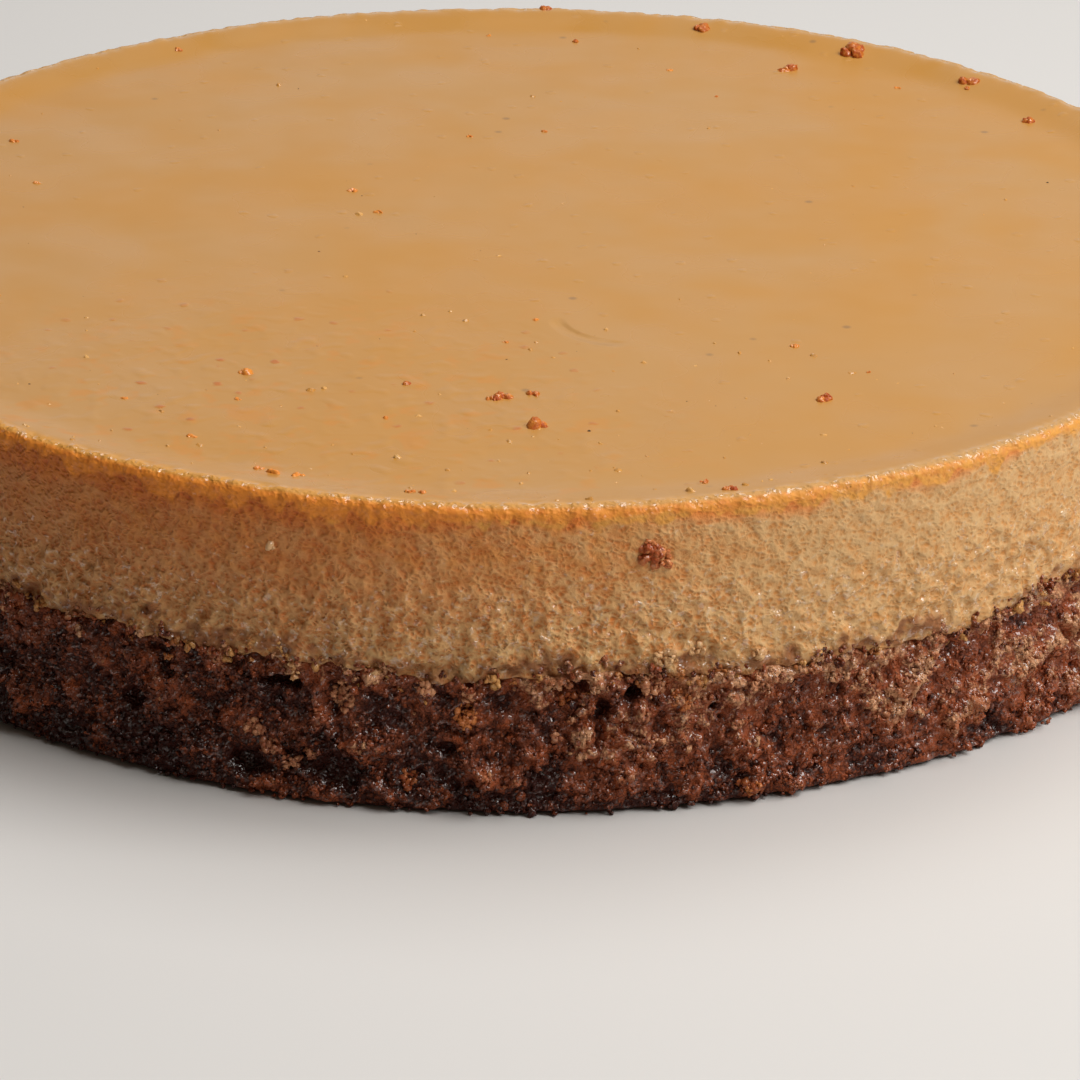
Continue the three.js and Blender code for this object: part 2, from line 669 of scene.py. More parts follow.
    def relief(self, height: Socket, depth: float, under: Socket | None = None) -> Socket:
        """A Bump node.

        Args:
            height: From 0 at the bottom of the relief to 1 at its top.
            depth: How far apart those are.
            under: The normal of a relief that this one lies on.

        Returns:
            The relief's normal.
        """
        node = self.tree.nodes.new("ShaderNodeBump")
        node.inputs["Strength"].default_value = 1.0
        node.inputs["Distance"].default_value = depth * MM
        self.feed(node.inputs["Height"], height)
        if under is not None:
            self.feed(node.inputs["Normal"], under)
        return node.outputs["Normal"]

    def finish(self, colour: Socket | Colour, roughness: Socket | float, normal: Socket | None,
               **settings: Socket | float | tuple) -> bpy.types.Material:
        """Connects the shader.

        Args:
            colour: Base colour.
            roughness: Roughness.
            normal: The relief's normal.
            settings: The shader's other inputs, with _ for a space in their names.

        Returns:
            The material.
        """
        self.feed(self.shader.inputs["Base Color"], colour)
        self.feed(self.shader.inputs["Roughness"], roughness)
        if normal is not None:
            self.feed(self.shader.inputs["Normal"], normal)
        for name, value in settings.items():
            self.feed(self.shader.inputs[name.replace("_", " ")], value)
        return self.material


@dataclass(frozen=True)
class EdgeTint:
    """The flan's edge, where caramel lies on custard: gold where it has stained, and pale elsewhere."""

    gold: Colour = (0.93, 0.30, 0.038)
    pale_gold: Colour = (0.78, 0.352, 0.07)
    crest: Colour = (0.66, 0.31, 0.06)
    pale_crest: Colour = (0.58, 0.322, 0.115)
    patch_width: float = 1.3
    drop_width: float = 1.1

    def tint(self, bench: Bench, pale: Colour, stained: Colour) -> Socket:
        """One colour, or another where the edge is stained."""
        return bench.mix(bench.ramp(bench.mark("stain"), 0.7, 1.0), pale, stained)

    def over(self, bench: Bench, colour: Socket) -> Socket:
        """Tints a surface: the mark "rim" blends the gold in from 0 to 1 and the crest's colour from 1 to 2.

        Args:
            bench: The material in the making.
            colour: The surface's own colour.

        Returns:
            The tinted colour.
        """
        rim = bench.mark("rim")
        patchy = bench.ramp(bench.noise(self.patch_width, 1.0), 0.3, 0.6, 0.5, 1.0)
        share = bench.math("MULTIPLY", bench.ramp(rim, 0.0, 1.0), patchy)
        golden = bench.mix(share, colour, self.tint(bench, self.pale_gold, self.gold))
        return bench.mix(bench.ramp(rim, 1.0, 2.0), golden, self.tint(bench, self.pale_crest, self.crest))

    def film(self, bench: Bench) -> Socket:
        """How wet the surface is: drops of syrup lie along the crest."""
        drops = bench.ramp(bench.noise(self.drop_width), 0.5, 0.58)
        return bench.math("MULTIPLY", bench.ramp(bench.mark("rim"), 0.8, 1.6), drops)


@dataclass(frozen=True)
class SkinFinish:
    """The flan's upper face: satin caramel skin in soft patches, the paler ones partly painted greyish sheen,
    with freckles, specks and one crease.
    """

    warm: Colour = (0.545, 0.252, 0.040)
    # Partly the skin's own paler mottling, partly a painted greyish sheen.
    pale: Colour = (0.53, 0.272, 0.074)
    orange: Colour = (0.60, 0.235, 0.025)
    freckle: Colour = (0.52, 0.16, 0.02)
    speck: Colour = (0.24, 0.13, 0.05)
    patch_width: float = 46.0
    blotch_width: float = 4.6
    freckle_spacing: float = 6.5
    speck_spacing: float = 13.0
    gloss_width: float = 17.0
    bump_width: float = 3.0
    bump_depth: float = 0.14
    swell_width: float = 15.0
    swell_depth: float = 0.4
    rough_centre: Place = (-38.0, -88.0, 49.0)
    rough_reach: float = 80.0
    crease_centre: Place = (18.0, -38.0, 49.0)
    crease_radius: float = 12.0
    crease_middle: Place = (9.5, -46.5, 49.0)
    crease_reach: float = 9.0
    crease_width: float = 1.7

    def material(self) -> bpy.types.Material:
        """Patches of colour, the paler ones partly painted sheen, and of gloss over a low relief, which is
        rougher in places.

        Returns:
            The material.
        """
        bench = Bench("caramel_skin")
        # Painted sheen in part: broad patches blend the warm colour into the paler, greyer one.
        patches = bench.ramp(bench.noise(self.patch_width, 3.0, 0.6, twist=0.4), 0.3, 0.7)
        colour = bench.mix(patches, self.warm, self.pale)
        chosen = bench.ramp(bench.distance(self.rough_centre), self.rough_reach, 30.0)
        blotch = bench.ramp(bench.noise(self.blotch_width, 2.0), 0.54, 0.7, 0.0, 0.6)
        colour = bench.mix(bench.math("MULTIPLY", blotch, chosen), colour, self.orange)
        spot = bench.ramp(bench.cells(self.freckle_spacing, bench.wobbled(1.2, 0.8)), 0.16, 0.05)
        colour = bench.mix(bench.math("MULTIPLY", spot, chosen), colour, self.freckle)
        dark = bench.ramp(bench.cells(self.speck_spacing), 0.075, 0.02, 0.0, 0.6)
        colour = bench.mix(dark, colour, self.speck)
        edge = EdgeTint()
        crest = edge.tint(bench, edge.pale_crest, edge.crest)
        colour = bench.mix(bench.ramp(bench.mark("rim"), 0.0, 2.0), colour, crest)
        roughness = bench.ramp(bench.noise(self.gloss_width, 2.0), 0.3, 0.7, 0.24, 0.4)
        bumps = bench.ramp(bench.noise(self.bump_width, 0.0), 0.45, 0.9, 0.0, 0.7)
        bumps = bench.math("MULTIPLY", bumps, chosen)
        bumps = bench.math("ADD", bumps, bench.math("MULTIPLY", spot, 0.5))
        swells = bench.relief(bench.noise(self.swell_width, 1.0), self.swell_depth)
        height = bench.math("SUBTRACT", bumps, self.crease(bench))
        relief = bench.relief(height, self.bump_depth, swells)
        return bench.finish(colour, roughness, relief, IOR=1.4, Coat_Weight=edge.film(bench),
                            Coat_Roughness=0.1)

    def crease(self, bench: Bench) -> Socket:
        """A short arc, as a line that fades out towards its ends.

        Args:
            bench: The material in the making.

        Returns:
            Its depth, which is 0 away from the line.
        """
        off = bench.math("SUBTRACT", bench.distance(self.crease_centre), self.crease_radius)
        off = bench.math("ABSOLUTE", off)
        near = bench.ramp(bench.distance(self.crease_middle), self.crease_reach, 0.5 * self.crease_reach)
        return bench.math("MULTIPLY", bench.ramp(off, self.crease_width, 0.2, 0.0, 2.2), near)


@dataclass(frozen=True)
class CurdFinish:
    """The flan's side: pale porous curd, stained by caramel below the rim and bright along its edge."""

    curd: Colour = (0.765, 0.503, 0.226)
    curd_deep: Colour = (0.71, 0.37, 0.12)
    curd_low: Colour = (0.785, 0.54, 0.252)
    # Pit colours, here and for the pale and stained pits: the pits' own orange-brown, painted darker and
    # redder for the orange shade that light passing through the custard gives in them.
    pore: Colour = (0.63, 0.195, 0.036)
    pale_curd: Colour = (0.725, 0.462, 0.215)
    pale_pore: Colour = (0.62, 0.262, 0.066)
    pale_centre: Place = (76.5, -91.0, 36.0)
    pale_reach: float = 80.0
    # Caramel orange, also used as painted warm bounce light over the shaded side.
    stain: Colour = (0.91, 0.275, 0.04)
    stain_pore: Colour = (0.60, 0.105, 0.015)
    # Brown of sponge rubbed off on the foot, also painted over the side away from the light as shade.
    soil: Colour = (0.26, 0.09, 0.035)
    cloud_width: float = 3.4
    fine_pit: float = 0.86
    large_pit: float = 2.0
    pit_depth: float = 0.43
    drop_width: float = 1.0
    drop_depth: float = 0.9
    upper_line: float = 42.0  # the height above which the foam is as near the rim
    lower_line: float = 32.0  # and below which it is as near the foot

    def material(self) -> bpy.types.Material:
        """Foam colours and relief, blended by the mesh's marks "stain", "soil" and "rim".

        Returns:
            The material.
        """
        bench = Bench("porous_curd")
        pores = self.pores(bench)
        walls = bench.ramp(pores, -0.1, 1.1)
        clouds = bench.ramp(bench.noise(self.cloud_width, 2.0, 0.6), 0.36, 0.64)
        curd = bench.mix(clouds, self.curd, self.curd_deep)
        curd = bench.mix(bench.ramp(bench.height(), self.upper_line, 33.0, 0.0, 0.7), curd, self.curd_low)
        side = bench.ramp(bench.distance(self.pale_centre), self.pale_reach, 30.0)
        curd = bench.mix(side, curd, self.pale_curd)
        clean = bench.mix(walls, bench.mix(side, self.pore, self.pale_pore), curd)
        # The orange is caramel soaked in below the rim, and on the shaded side partly painted warm bounce
        # light.
        stained = bench.mix(walls, self.stain_pore, self.stain)
        # The brown is partly sponge rubbed off on the foot and partly painted shade on the side away from the
        # light.
        colour = bench.mix(bench.mark("soil"), bench.mix(bench.mark("stain"), clean, stained), self.soil)
        shallow = bench.math("MAXIMUM", bench.ramp(bench.mark("rim"), 0.0, 1.0, 0.0, 0.4),
                             bench.math("MULTIPLY", side, 0.4))
        depth = bench.blend(shallow, pores, 0.5)
        drops = bench.noise(self.drop_width, 1.0)
        low = bench.ramp(bench.height(), 44.0, self.lower_line, -0.05, 0.07)
        dry = bench.ramp(bench.mark("stain"), 0.1, 0.6, 0.0, 0.07)
        level = bench.math("SUBTRACT", bench.math("ADD", drops, low), dry)
        wet = bench.math("MAXIMUM", bench.ramp(level, 0.65, 0.69), EdgeTint().film(bench))
        colour = EdgeTint().over(bench, colour)
        return bench.finish(colour, 0.5, bench.relief(depth, self.pit_depth), IOR=1.42,
                            Specular_IOR_Level=0.25, Coat_Weight=wet, Coat_Roughness=0.12, Coat_IOR=2.0,
                            Coat_Normal=bench.relief(drops, self.drop_depth))

    def pores(self, bench: Bench) -> Socket:
        """Foam: two sizes of packed, soft pits, wider than tall and deeper lower down, in a cloudy ground.

        Args:
            bench: The material in the making.

        Returns:
            How far each place stands out: about 0 in a pit and 1 outside.
        """
        place = bench.vector("MULTIPLY", bench.wobbled(1.6, 0.7), (1.0, 1.0, 1.25))
        fine = bench.pits(self.fine_pit, place, 0.5, 0.95)
        large = bench.pits(self.large_pit, place, 0.1, 0.5)
        ground = bench.ramp(bench.noise(2.0, 3.0, 0.6), 0.25, 0.75, 0.5, 1.0)
        sunk = bench.math("MAXIMUM", bench.math("MULTIPLY", fine, 0.4), bench.math("MULTIPLY", large, 0.5))
        deeper = bench.ramp(bench.height(), self.upper_line, self.lower_line, 1.0, 1.2)
        return bench.math("SUBTRACT", ground, bench.math("MULTIPLY", sunk, deeper))


@dataclass(frozen=True)
class SpongeFinish:
    """Moist dark chocolate sponge: brown crumb with reddish and paler crumbs, its tones partly painted light
    and shade, wet enough to glint.
    """

    name: str = "chocolate_crumb"
    deep: Colour = (0.045, 0.009, 0.005)
    brown: Colour = (0.25, 0.066, 0.029)
    red: Colour = (0.38, 0.085, 0.024)
    pale: Colour = (0.68, 0.35, 0.18)
    grain_width: float = 0.55
    grain_depth: float = 0.3
    patch_width: float = 2.4
    drop_width: float = 0.8
    drop_depth: float = 0.6

    def material(self) -> bpy.types.Material:
        """Tones by the mesh's mark, broken up by grains, redder in patches and towards the foot, with painted
        shade darkening the foot and the dips between grains.

        Returns:
            The material.
        """
        bench = Bench(self.name)
        grains = bench.cells(self.grain_width, bench.wobbled(0.9, 0.5))
        # Painted shade: the crumb is darker towards the floor, and redder there too.
        foot = bench.ramp(bench.height(), 14.0, 1.0, 0.0, 0.22)
        tone = bench.math("SUBTRACT", bench.mark("tone"), foot)
        # Painted shade: the tone drops between the grains, where the relief dips; low tones run to the deep
        # colour.
        tone = bench.math("ADD", tone, bench.ramp(grains, 0.85, 0.1, -0.16, 0.16))
        colour = bench.mix(bench.ramp(tone, 0.02, 0.66), self.deep, self.brown)
        colour = bench.mix(bench.ramp(tone, 0.7, 1.15), colour, self.pale)
        reddish = bench.ramp(bench.math("ADD", bench.noise(self.patch_width, 1.0), foot), 0.46, 0.62)
        reddish = bench.math("MULTIPLY", reddish, bench.ramp(tone, 0.15, 0.7, 0.0, 0.65))
        colour = bench.mix(reddish, colour, self.red)
        drops = bench.noise(self.drop_width, 1.0)
        near_foot = bench.math("MULTIPLY_ADD", foot, 0.25, drops)
        wet = bench.math("MULTIPLY", bench.mark("wet"), bench.ramp(near_foot, 0.48, 0.54))
        relief = bench.relief(bench.ramp(grains, 0.85, 0.05), self.grain_depth)
        return bench.finish(colour, 0.4, relief, IOR=1.45, Specular_IOR_Level=0.2, Coat_Weight=wet,
                            Coat_Roughness=0.1, Coat_IOR=1.9,
                            Coat_Normal=bench.relief(drops, self.drop_depth))


@dataclass(frozen=True)
class PlainFoodFinish:
    """A small bit of food of two tones, with a fine grain."""

    name: str
    dark: Colour
    light: Colour
    roughness: float = 0.4
    coat: float = 0.2
    tone_width: float = 0.7
    grain_width: float = 0.4
    grain_depth: float = 0.15

    def material(self) -> bpy.types.Material:
        """Tones by the mesh's mark, broken up by fine noise.

        Returns:
            The material.
        """
        bench = Bench(self.name)
        clouds = bench.ramp(bench.noise(self.tone_width, 3.0), 0.25, 0.75, -0.3, 0.3)
        tone = bench.math("ADD", bench.mark("tone"), clouds)
        colour = bench.mix(bench.ramp(tone, 0.0, 1.0), self.dark, self.light)
        grain = bench.relief(bench.noise(self.grain_width, 3.0), self.grain_depth)
        drops = bench.ramp(bench.noise(self.tone_width, 1.0), 0.5, 0.58, 0.0, self.coat)
        wet = bench.math("MULTIPLY", bench.mark("wet"), drops)
        return bench.finish(colour, self.roughness, grain, IOR=1.45, Specular_IOR_Level=0.25, Coat_Weight=wet,
                            Coat_Roughness=0.12, Coat_IOR=1.9)


# ---------------------------------------------------------------------------------------------------------
# The frame's shape
# ---------------------------------------------------------------------------------------------------------


@dataclass(frozen=True)
class Outline:
    """A height or a radius for each angle round the cake, read from the frame and smooth between readings."""

    angles: Array
    values: Array

    def at(self, angle: Array) -> Array:
        """The value at some angles."""
        return np.interp(angle, self.angles, self.values, period=FULL_TURN)


@dataclass(frozen=True)
class CakeFrame:
    """What the looks take from the frame: the cake's size, the seam and the outline."""

    radius: float
    height: float
    seam: Outline
    edge: Outline

    @classmethod
    def read(cls, sectors: int = 120) -> "CakeFrame":
        """Reads the flan's node.

        The radius is half its width. Round the cake, the seam is its lowest vertex near the side, and the
        outline is how far its other vertices reach out.

        Args:
            sectors: In how many directions the seam and the outline are read.

        Returns:
            The frame's measures.
        """
        low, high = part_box(Node.FLAN.value)
        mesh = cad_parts[Node.FLAN.value].data
        flat = np.empty(3 * len(mesh.vertices))
        mesh.vertices.foreach_get("co", flat)
        points = flat.reshape(-1, 3) / MM
        radius = (high.x - low.x) / 2 / MM
        height = high.z / MM
        out = np.hypot(points[:, 0], points[:, 1])
        sector = np.round(np.arctan2(points[:, 1], points[:, 0]) / FULL_TURN * sectors).astype(int) % sectors
        foot = (out > 0.97 * radius) & (points[:, 2] < 0.6 * height)
        seam = np.full(sectors, np.inf)
        np.minimum.at(seam, sector[foot], points[foot, 2])
        edge = np.zeros(sectors)
        np.maximum.at(edge, sector[~foot], out[~foot])
        angles = FULL_TURN * np.arange(sectors) / sectors
        read = np.isfinite(seam)
        return cls(radius, height, Outline(angles[read], seam[read]), Outline(angles, edge))


# ---------------------------------------------------------------------------------------------------------
# The two layers
# ---------------------------------------------------------------------------------------------------------


@dataclass
class Seam:
    """The ragged line where the flan sits on the sponge."""

    cake: CakeFrame
    raggedness: float = 1.3  # height of the noise
    tooth: float = 6.0  # and its width
    tear: float = 0.6  # height of the tears
    tear_width: float = 1.7

    def height(self, angle: Array) -> Array:
        """The frame's seam with three octaves of noise along it, and small tears where noise is strong.

        Args:
            angle: Angles round the cake.

        Returns:
            Heights above the floor.
        """
        line = around(self.cake.radius, angle, np.zeros_like(angle))
        swells = self.raggedness * layered_noise(line, self.tooth, 3, 211)
        torn = self.tear * lattice_noise(line, self.tear_width, 221) * (1 + lattice_noise(line, 9.0, 222))
        return self.cake.seam.at(angle) + swells + torn


@dataclass
class FlanLayer:
    """The custard: a shallow dish on top, a crisp rim and a porous side that is torn towards its foot."""

    cake: CakeFrame
    seam: Seam
    columns: int = 1344
    side_rows: int = 54
    rim_round: float = 1.5
    lip_height: float = 1.5
    lip_width: float = 10.0
    foot_round: float = 0.4
    lean: float = 0.7  # how far the side leans out at the floor
    swell_width: float = 10.0
    swell_height: float = 0.3
    puff_size: Place = (3.6, 3.6, 2.4)
    puff_height: float = 0.5
    small_puff_size: Place = (1.7, 1.7, 1.3)
    small_puff_height: float = 0.75
    lump_width: float = 2.0
    lump_height: float = 0.4
    ridge_width: float = 3.2
    ridge_height: float = 0.6
    hollow_width: float = 5.5
    coarse_from: float = 39.0  # the height below which the foam gets coarser
    coarse_to: float = 27.0  # and where it is coarsest
    stain_depth: float = 5.0
    # The side where caramel reaches deepest, which is also the shaded side where warm bounce light and shade
    # are painted.
    stain_side_deg: float = -140.0
    gold_depth: float = 2.4
    # Each underside ring: share of the radius, and how often its count of vertices is halved.
    underside_rings: Rings = ((0.2, 4), (0.5, 3), (0.75, 2), (0.9, 1), (0.965, 0))
    foot_steps: tuple[float, ...] = (0.0, 0.35, 0.7)  # share of the foot's quarter circle
    # Each ring of the rim: the mark "rim", and degrees up the rim's arc.
    rim_steps: Rings = ((1.0, 18), (1.1, 36), (1.4, 52), (1.8, 66), (2.0, 79))
    # Each ring of the upper face: distance inside the crest, and halvings.
    top_rings: Rings = (
        (0.0, 0), (0.4, 0), (0.9, 0), (2.0, 0), (4.0, 1), (6.0, 1), (8.0, 1), (10.0, 1), (12.5, 1), (16.0, 1),
        (20.0, 2), (25.0, 2), (31.0, 2), (38.0, 2), (46.0, 3), (55.0, 3), (66.0, 3), (80.0, 4), (97.0, 5),
    )

    def side_radius(self, angle: Array, height: Array) -> Array:
        """Radius of the side.

        The outline leans out a little towards the foot. On it lie broad swells and a foam of puffs of two
        sizes, which fall off with the square of the distance from their middles, with lumps, and with ridges
        where another noise is near zero. The foam gets coarser towards the foot and has torn hollows there.

        Args:
            angle: Angles round the cake.
            height: Heights above the floor.

        Returns:
            The radius.
        """
        lean = self.lean * (1 - height / self.cake.height)
        place = around(self.cake.radius, angle, height)
        mixed = stirred(stirred(place, 4.0, 1.0, 305), 1.6, 0.35, 315)
        line = height + 5.0 * layered_noise(place, 12.0, 2, 307)
        low = smoothstep(line, self.coarse_from, self.coarse_to)
        swells = self.swell_height * layered_noise(place, self.swell_width, 2, 301)
        puff = nearest_grain(mixed, self.puff_size, 302)
        small = nearest_grain(mixed, self.small_puff_size, 303)
        ridges = smoothstep(np.abs(layered_noise(mixed, self.ridge_width, 2, 309)), 0.3, 0.0)
        puffs = self.puff_height * (0.4 - puff**2) + self.small_puff_height * (0.4 - small**2)
        puffs = puffs + self.lump_height * layered_noise(mixed, self.lump_width, 3, 304)
        puffs = puffs + self.ridge_height * ridges
        hollow = smoothstep(layered_noise(mixed, self.hollow_width, 2, 308), 0.22, 0.6)
        foam = (0.3 + 0.7 * low) * puffs - (0.1 + 0.9 * low) * hollow
        return self.cake.edge.at(angle) + lean + swells + foam

    def top_height(self, radius: Array, angle: Array) -> Array:
        """Height of the upper face: flat in the middle, up over the lip, with slight swells.

        Args:
            radius: Distances from the axis.
            angle: Angles round the cake.

        Returns:
            Heights above the floor.
        """
        crest = self.cake.edge.at(angle) - self.rim_round
        rise = smoothstep(radius - crest, -self.lip_width, 0.0)
        place = around(radius, angle, np.zeros_like(radius))
        swell = 0.2 * layered_noise(place, 38.0, 2, 311) + 0.03 * lattice_noise(place, 6.0, 312)
        return self.cake.height - self.lip_height * (1 - rise) + swell * (1 - 0.8 * rise)

    def stain(self, angle: Array, height: Array) -> Array:
        """How strongly caramel has soaked into the side, with painted warm bounce light on its shaded side.

        It is full at the rim and ends at a ragged depth, which is greatest on one side of the cake. A fainter
        orange reaches most of the way down there, partly caramel and partly painted warm light bounced into
        the shade.

        Args:
            angle: Angles round the cake.
            height: Heights above the floor.

        Returns:
            From 0 to 1.
        """
        place = around(self.cake.radius, angle, 0.0 * angle)
        turn = np.cos(angle - math.radians(self.stain_side_deg))
        depth = 2.0 + self.stain_depth * np.maximum(turn, 0.0) ** 2 + 2.4 * layered_noise(place, 8.0, 3, 331)
        sunk = self.cake.height - height
        depth = np.maximum(depth, 1.0)
        soaked = (0.7 + 0.3 * turn) * smoothstep(sunk, 1.5 * depth, 0.5 * depth)
        # The fainter orange on the shaded side is partly caramel and partly painted warm bounce light.
        return np.maximum(soaked, 0.58 * smoothstep(turn, 0.3, 0.95) * smoothstep(sunk, 30.0, 6.0))

    def soil(self, angle: Array, height: Array) -> Array:
        """How brown the side is: sponge has rubbed off on its foot in patches, up to a few millimetres high,
        and on the side away from the light painted shade browns all of it a little.

        Args:
            angle: Angles round the cake.
            height: Heights above the floor.

        Returns:
            From 0 to 1.
        """
        place = around(self.cake.radius, angle, height)
        turn = np.cos(angle - math.radians(self.stain_side_deg))
        reach = 2.3 + 1.4 * np.maximum(turn, 0.0) + 4.4 * layered_noise(place, 6.0, 3, 351)
        patchy = 0.7 + 0.9 * lattice_noise(place, 1.4, 352)
        # Painted shade: on the side away from the light, the whole side is browned at least this much.
        shade = 0.32 * smoothstep(turn, 0.5, 1.0)
        foot = smoothstep(height - self.seam.height(angle), reach + 0.8, reach - 0.8)
        return np.clip(foot * patchy, shade, 0.85)

    def gilding(self, angle: Array, height: Array) -> Array:
        """The mark "rim" on the side: gold from the rim down to a knobbly line.

        Args:
            angle: Angles round the cake.
            height: Heights above the floor.

        Returns:
            From 0 below the line to 1 above it.
        """
        line = around(self.cake.radius, angle, 0.0 * angle)
        reach = self.gold_depth * (1 + 1.1 * layered_noise(line, 2.4, 2, 341))
        return smoothstep(self.cake.height - height, reach + 0.8, reach - 0.4)

    def build(self) -> bpy.types.Object:
        """Stacks the rings: underside, foot, side, rim and upper face.

        Returns:
            The piece, which replaces the frame's node.
        """
        stack = RingStack()
        self.add_underside(stack)
        self.add_side(stack)
        self.add_rim(stack)
        self.add_top(stack)
        piece = settle(stack.build("flan_layer"), Node.FLAN, CurdFinish().material(), SkinFinish().material())
        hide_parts(Node.FLAN.value)
        self.part_faces(piece.data)
        return piece

    def part_faces(self, mesh: bpy.types.Mesh) -> None:
        """The side keeps the curd's finish, and faces inside the crest get the skin's.

        Args:
            mesh: The layer's mesh, whose attribute "upper" is 1 on the upper face.
        """
        upper = np.empty(len(mesh.vertices), dtype=np.float32)
        mesh.attributes["upper"].data.foreach_get("value", upper)
        corners = np.empty(len(mesh.loops), dtype=np.int32)
        mesh.loops.foreach_get("vertex_index", corners)
        starts = np.empty(len(mesh.polygons), dtype=np.int32)
        mesh.polygons.foreach_get("loop_start", starts)
        on_top = np.minimum.reduceat(upper[corners], starts) > 0.5
        mesh.polygons.foreach_set("material_index", on_top.astype(np.int32))

    def add_underside(self, stack: RingStack) -> None:
        """A flat face at the seam's mean height that bends to the ragged line near the side.

        Args:
            stack: Where the rings go.
        """
        mean = float(self.cake.seam.values.mean())
        stack.add(np.array([[0.0, 0.0, mean]]), upper=0.0, stain=0.0, rim=0.0, soil=0.6)
        for share, halvings in self.underside_rings:
            angle = ring_angles(self.columns >> halvings)
            ragged = float(smoothstep(np.array(share), 0.5, 0.96))
            height = mean + ragged * (self.seam.height(angle) - mean)
            ring = around(share * self.cake.radius, angle, height)
            stack.add(ring, upper=0.0, stain=0.0, rim=0.0, soil=0.6)

    def add_side(self, stack: RingStack) -> None:
        """Rows from the rounded foot to the foot of the rim.

        Args:
            stack: Where the rings go.
        """
        angle = ring_angles(self.columns)
        foot = self.seam.height(angle)
        top = self.cake.height - self.rim_round
        for turn in self.foot_steps:
            inset = self.foot_round * (1 - math.sin(turn * math.pi / 2))
            rise = self.foot_round * (1 - math.cos(turn * math.pi / 2))
            radius = self.side_radius(angle, foot + rise) - inset
            stack.add(around(radius, angle, foot + rise), upper=0.0, stain=0.0, rim=0.0, soil=0.6)
        for row in range(self.side_rows):
            share = row / (self.side_rows - 1)
            height = (foot + self.foot_round) * (1 - share) + top * share
            stack.add(
                around(self.side_radius(angle, height), angle, height),
                upper=0.0, stain=self.stain(angle, height), rim=self.gilding(angle, height),
                soil=self.soil(angle, height),
            )

    def knobs(self, angle: Array, arc: float) -> Array:
        """Small swellings of the rim: noise of two widths over the angle and the way up the rim's arc."""
        place = around(self.cake.radius, angle, arc)
        return 0.2 * lattice_noise(place, 2.0, 321) + 0.16 * lattice_noise(place, 0.9, 322)

    def add_rim(self, stack: RingStack) -> None:
        """A quarter circle from the side to the crest, with small bumps along it.

        Args:
            stack: Where the rings go.
        """
        angle = ring_angles(self.columns)
        foot = self.cake.height - self.rim_round
        side = self.side_radius(angle, np.full_like(angle, foot))
        for rim, turn_deg in self.rim_steps:
            turn = math.radians(turn_deg)
            bumps = self.knobs(angle, self.rim_round * turn)
            radius = side - self.rim_round * (1 - math.cos(turn)) + bumps * math.cos(turn)
            height = foot + self.rim_round * math.sin(turn) + bumps * math.sin(turn)
            stain = self.stain(angle, height)
            stack.add(around(radius, angle, height), upper=0.0, stain=stain, rim=rim, soil=0.0)

    def add_top(self, stack: RingStack) -> None:
        """Rings from the crest over the lip to the middle, with fewer vertices as they get smaller.

        Args:
            stack: Where the rings go.
        """
        for inset, halvings in self.top_rings:
            angle = ring_angles(self.columns >> halvings)
            radius = self.cake.edge.at(angle) * (1 - inset / self.cake.radius) - self.rim_round
            near = float(smoothstep(np.array(inset), 1.4, 0.3))
            bumps = near * self.knobs(angle, self.rim_round * math.pi / 2 + inset)
            height = self.top_height(radius, angle) + bumps
            stain = self.stain(angle, height)
            stack.add(around(radius, angle, height), upper=1.0, stain=stain, rim=2.0 * near, soil=0.0)
        middle = float(self.top_height(np.zeros(1), np.zeros(1))[0])
        stack.add(np.array([[0.0, 0.0, middle]]), upper=1.0, stain=0.0, rim=0.0, soil=0.0)


@dataclass(frozen=True)
class Dent:
    """A hollow at a known place on a side, with its half width, half height and depth."""

    angle_deg: float
    height: float
    width: float
    tall: float
    depth: float

    def at(self, place: Array, radius: float) -> Array:
        """Depth at some points: full in the middle, and nothing beyond the edge of an oval.

        Args:
            place: Points on the side, shape (count, 3).
            radius: The side's radius.

        Returns:
            Depths.
        """
        middle = around(radius, np.radians([self.angle_deg]), np.array([self.height]))[0]
        off = place - middle
        way = np.hypot(np.hypot(off[:, 0], off[:, 1]) / self.width, off[:, 2] / self.tall)
        return self.depth * smoothstep(way, 1.2, 0.6)


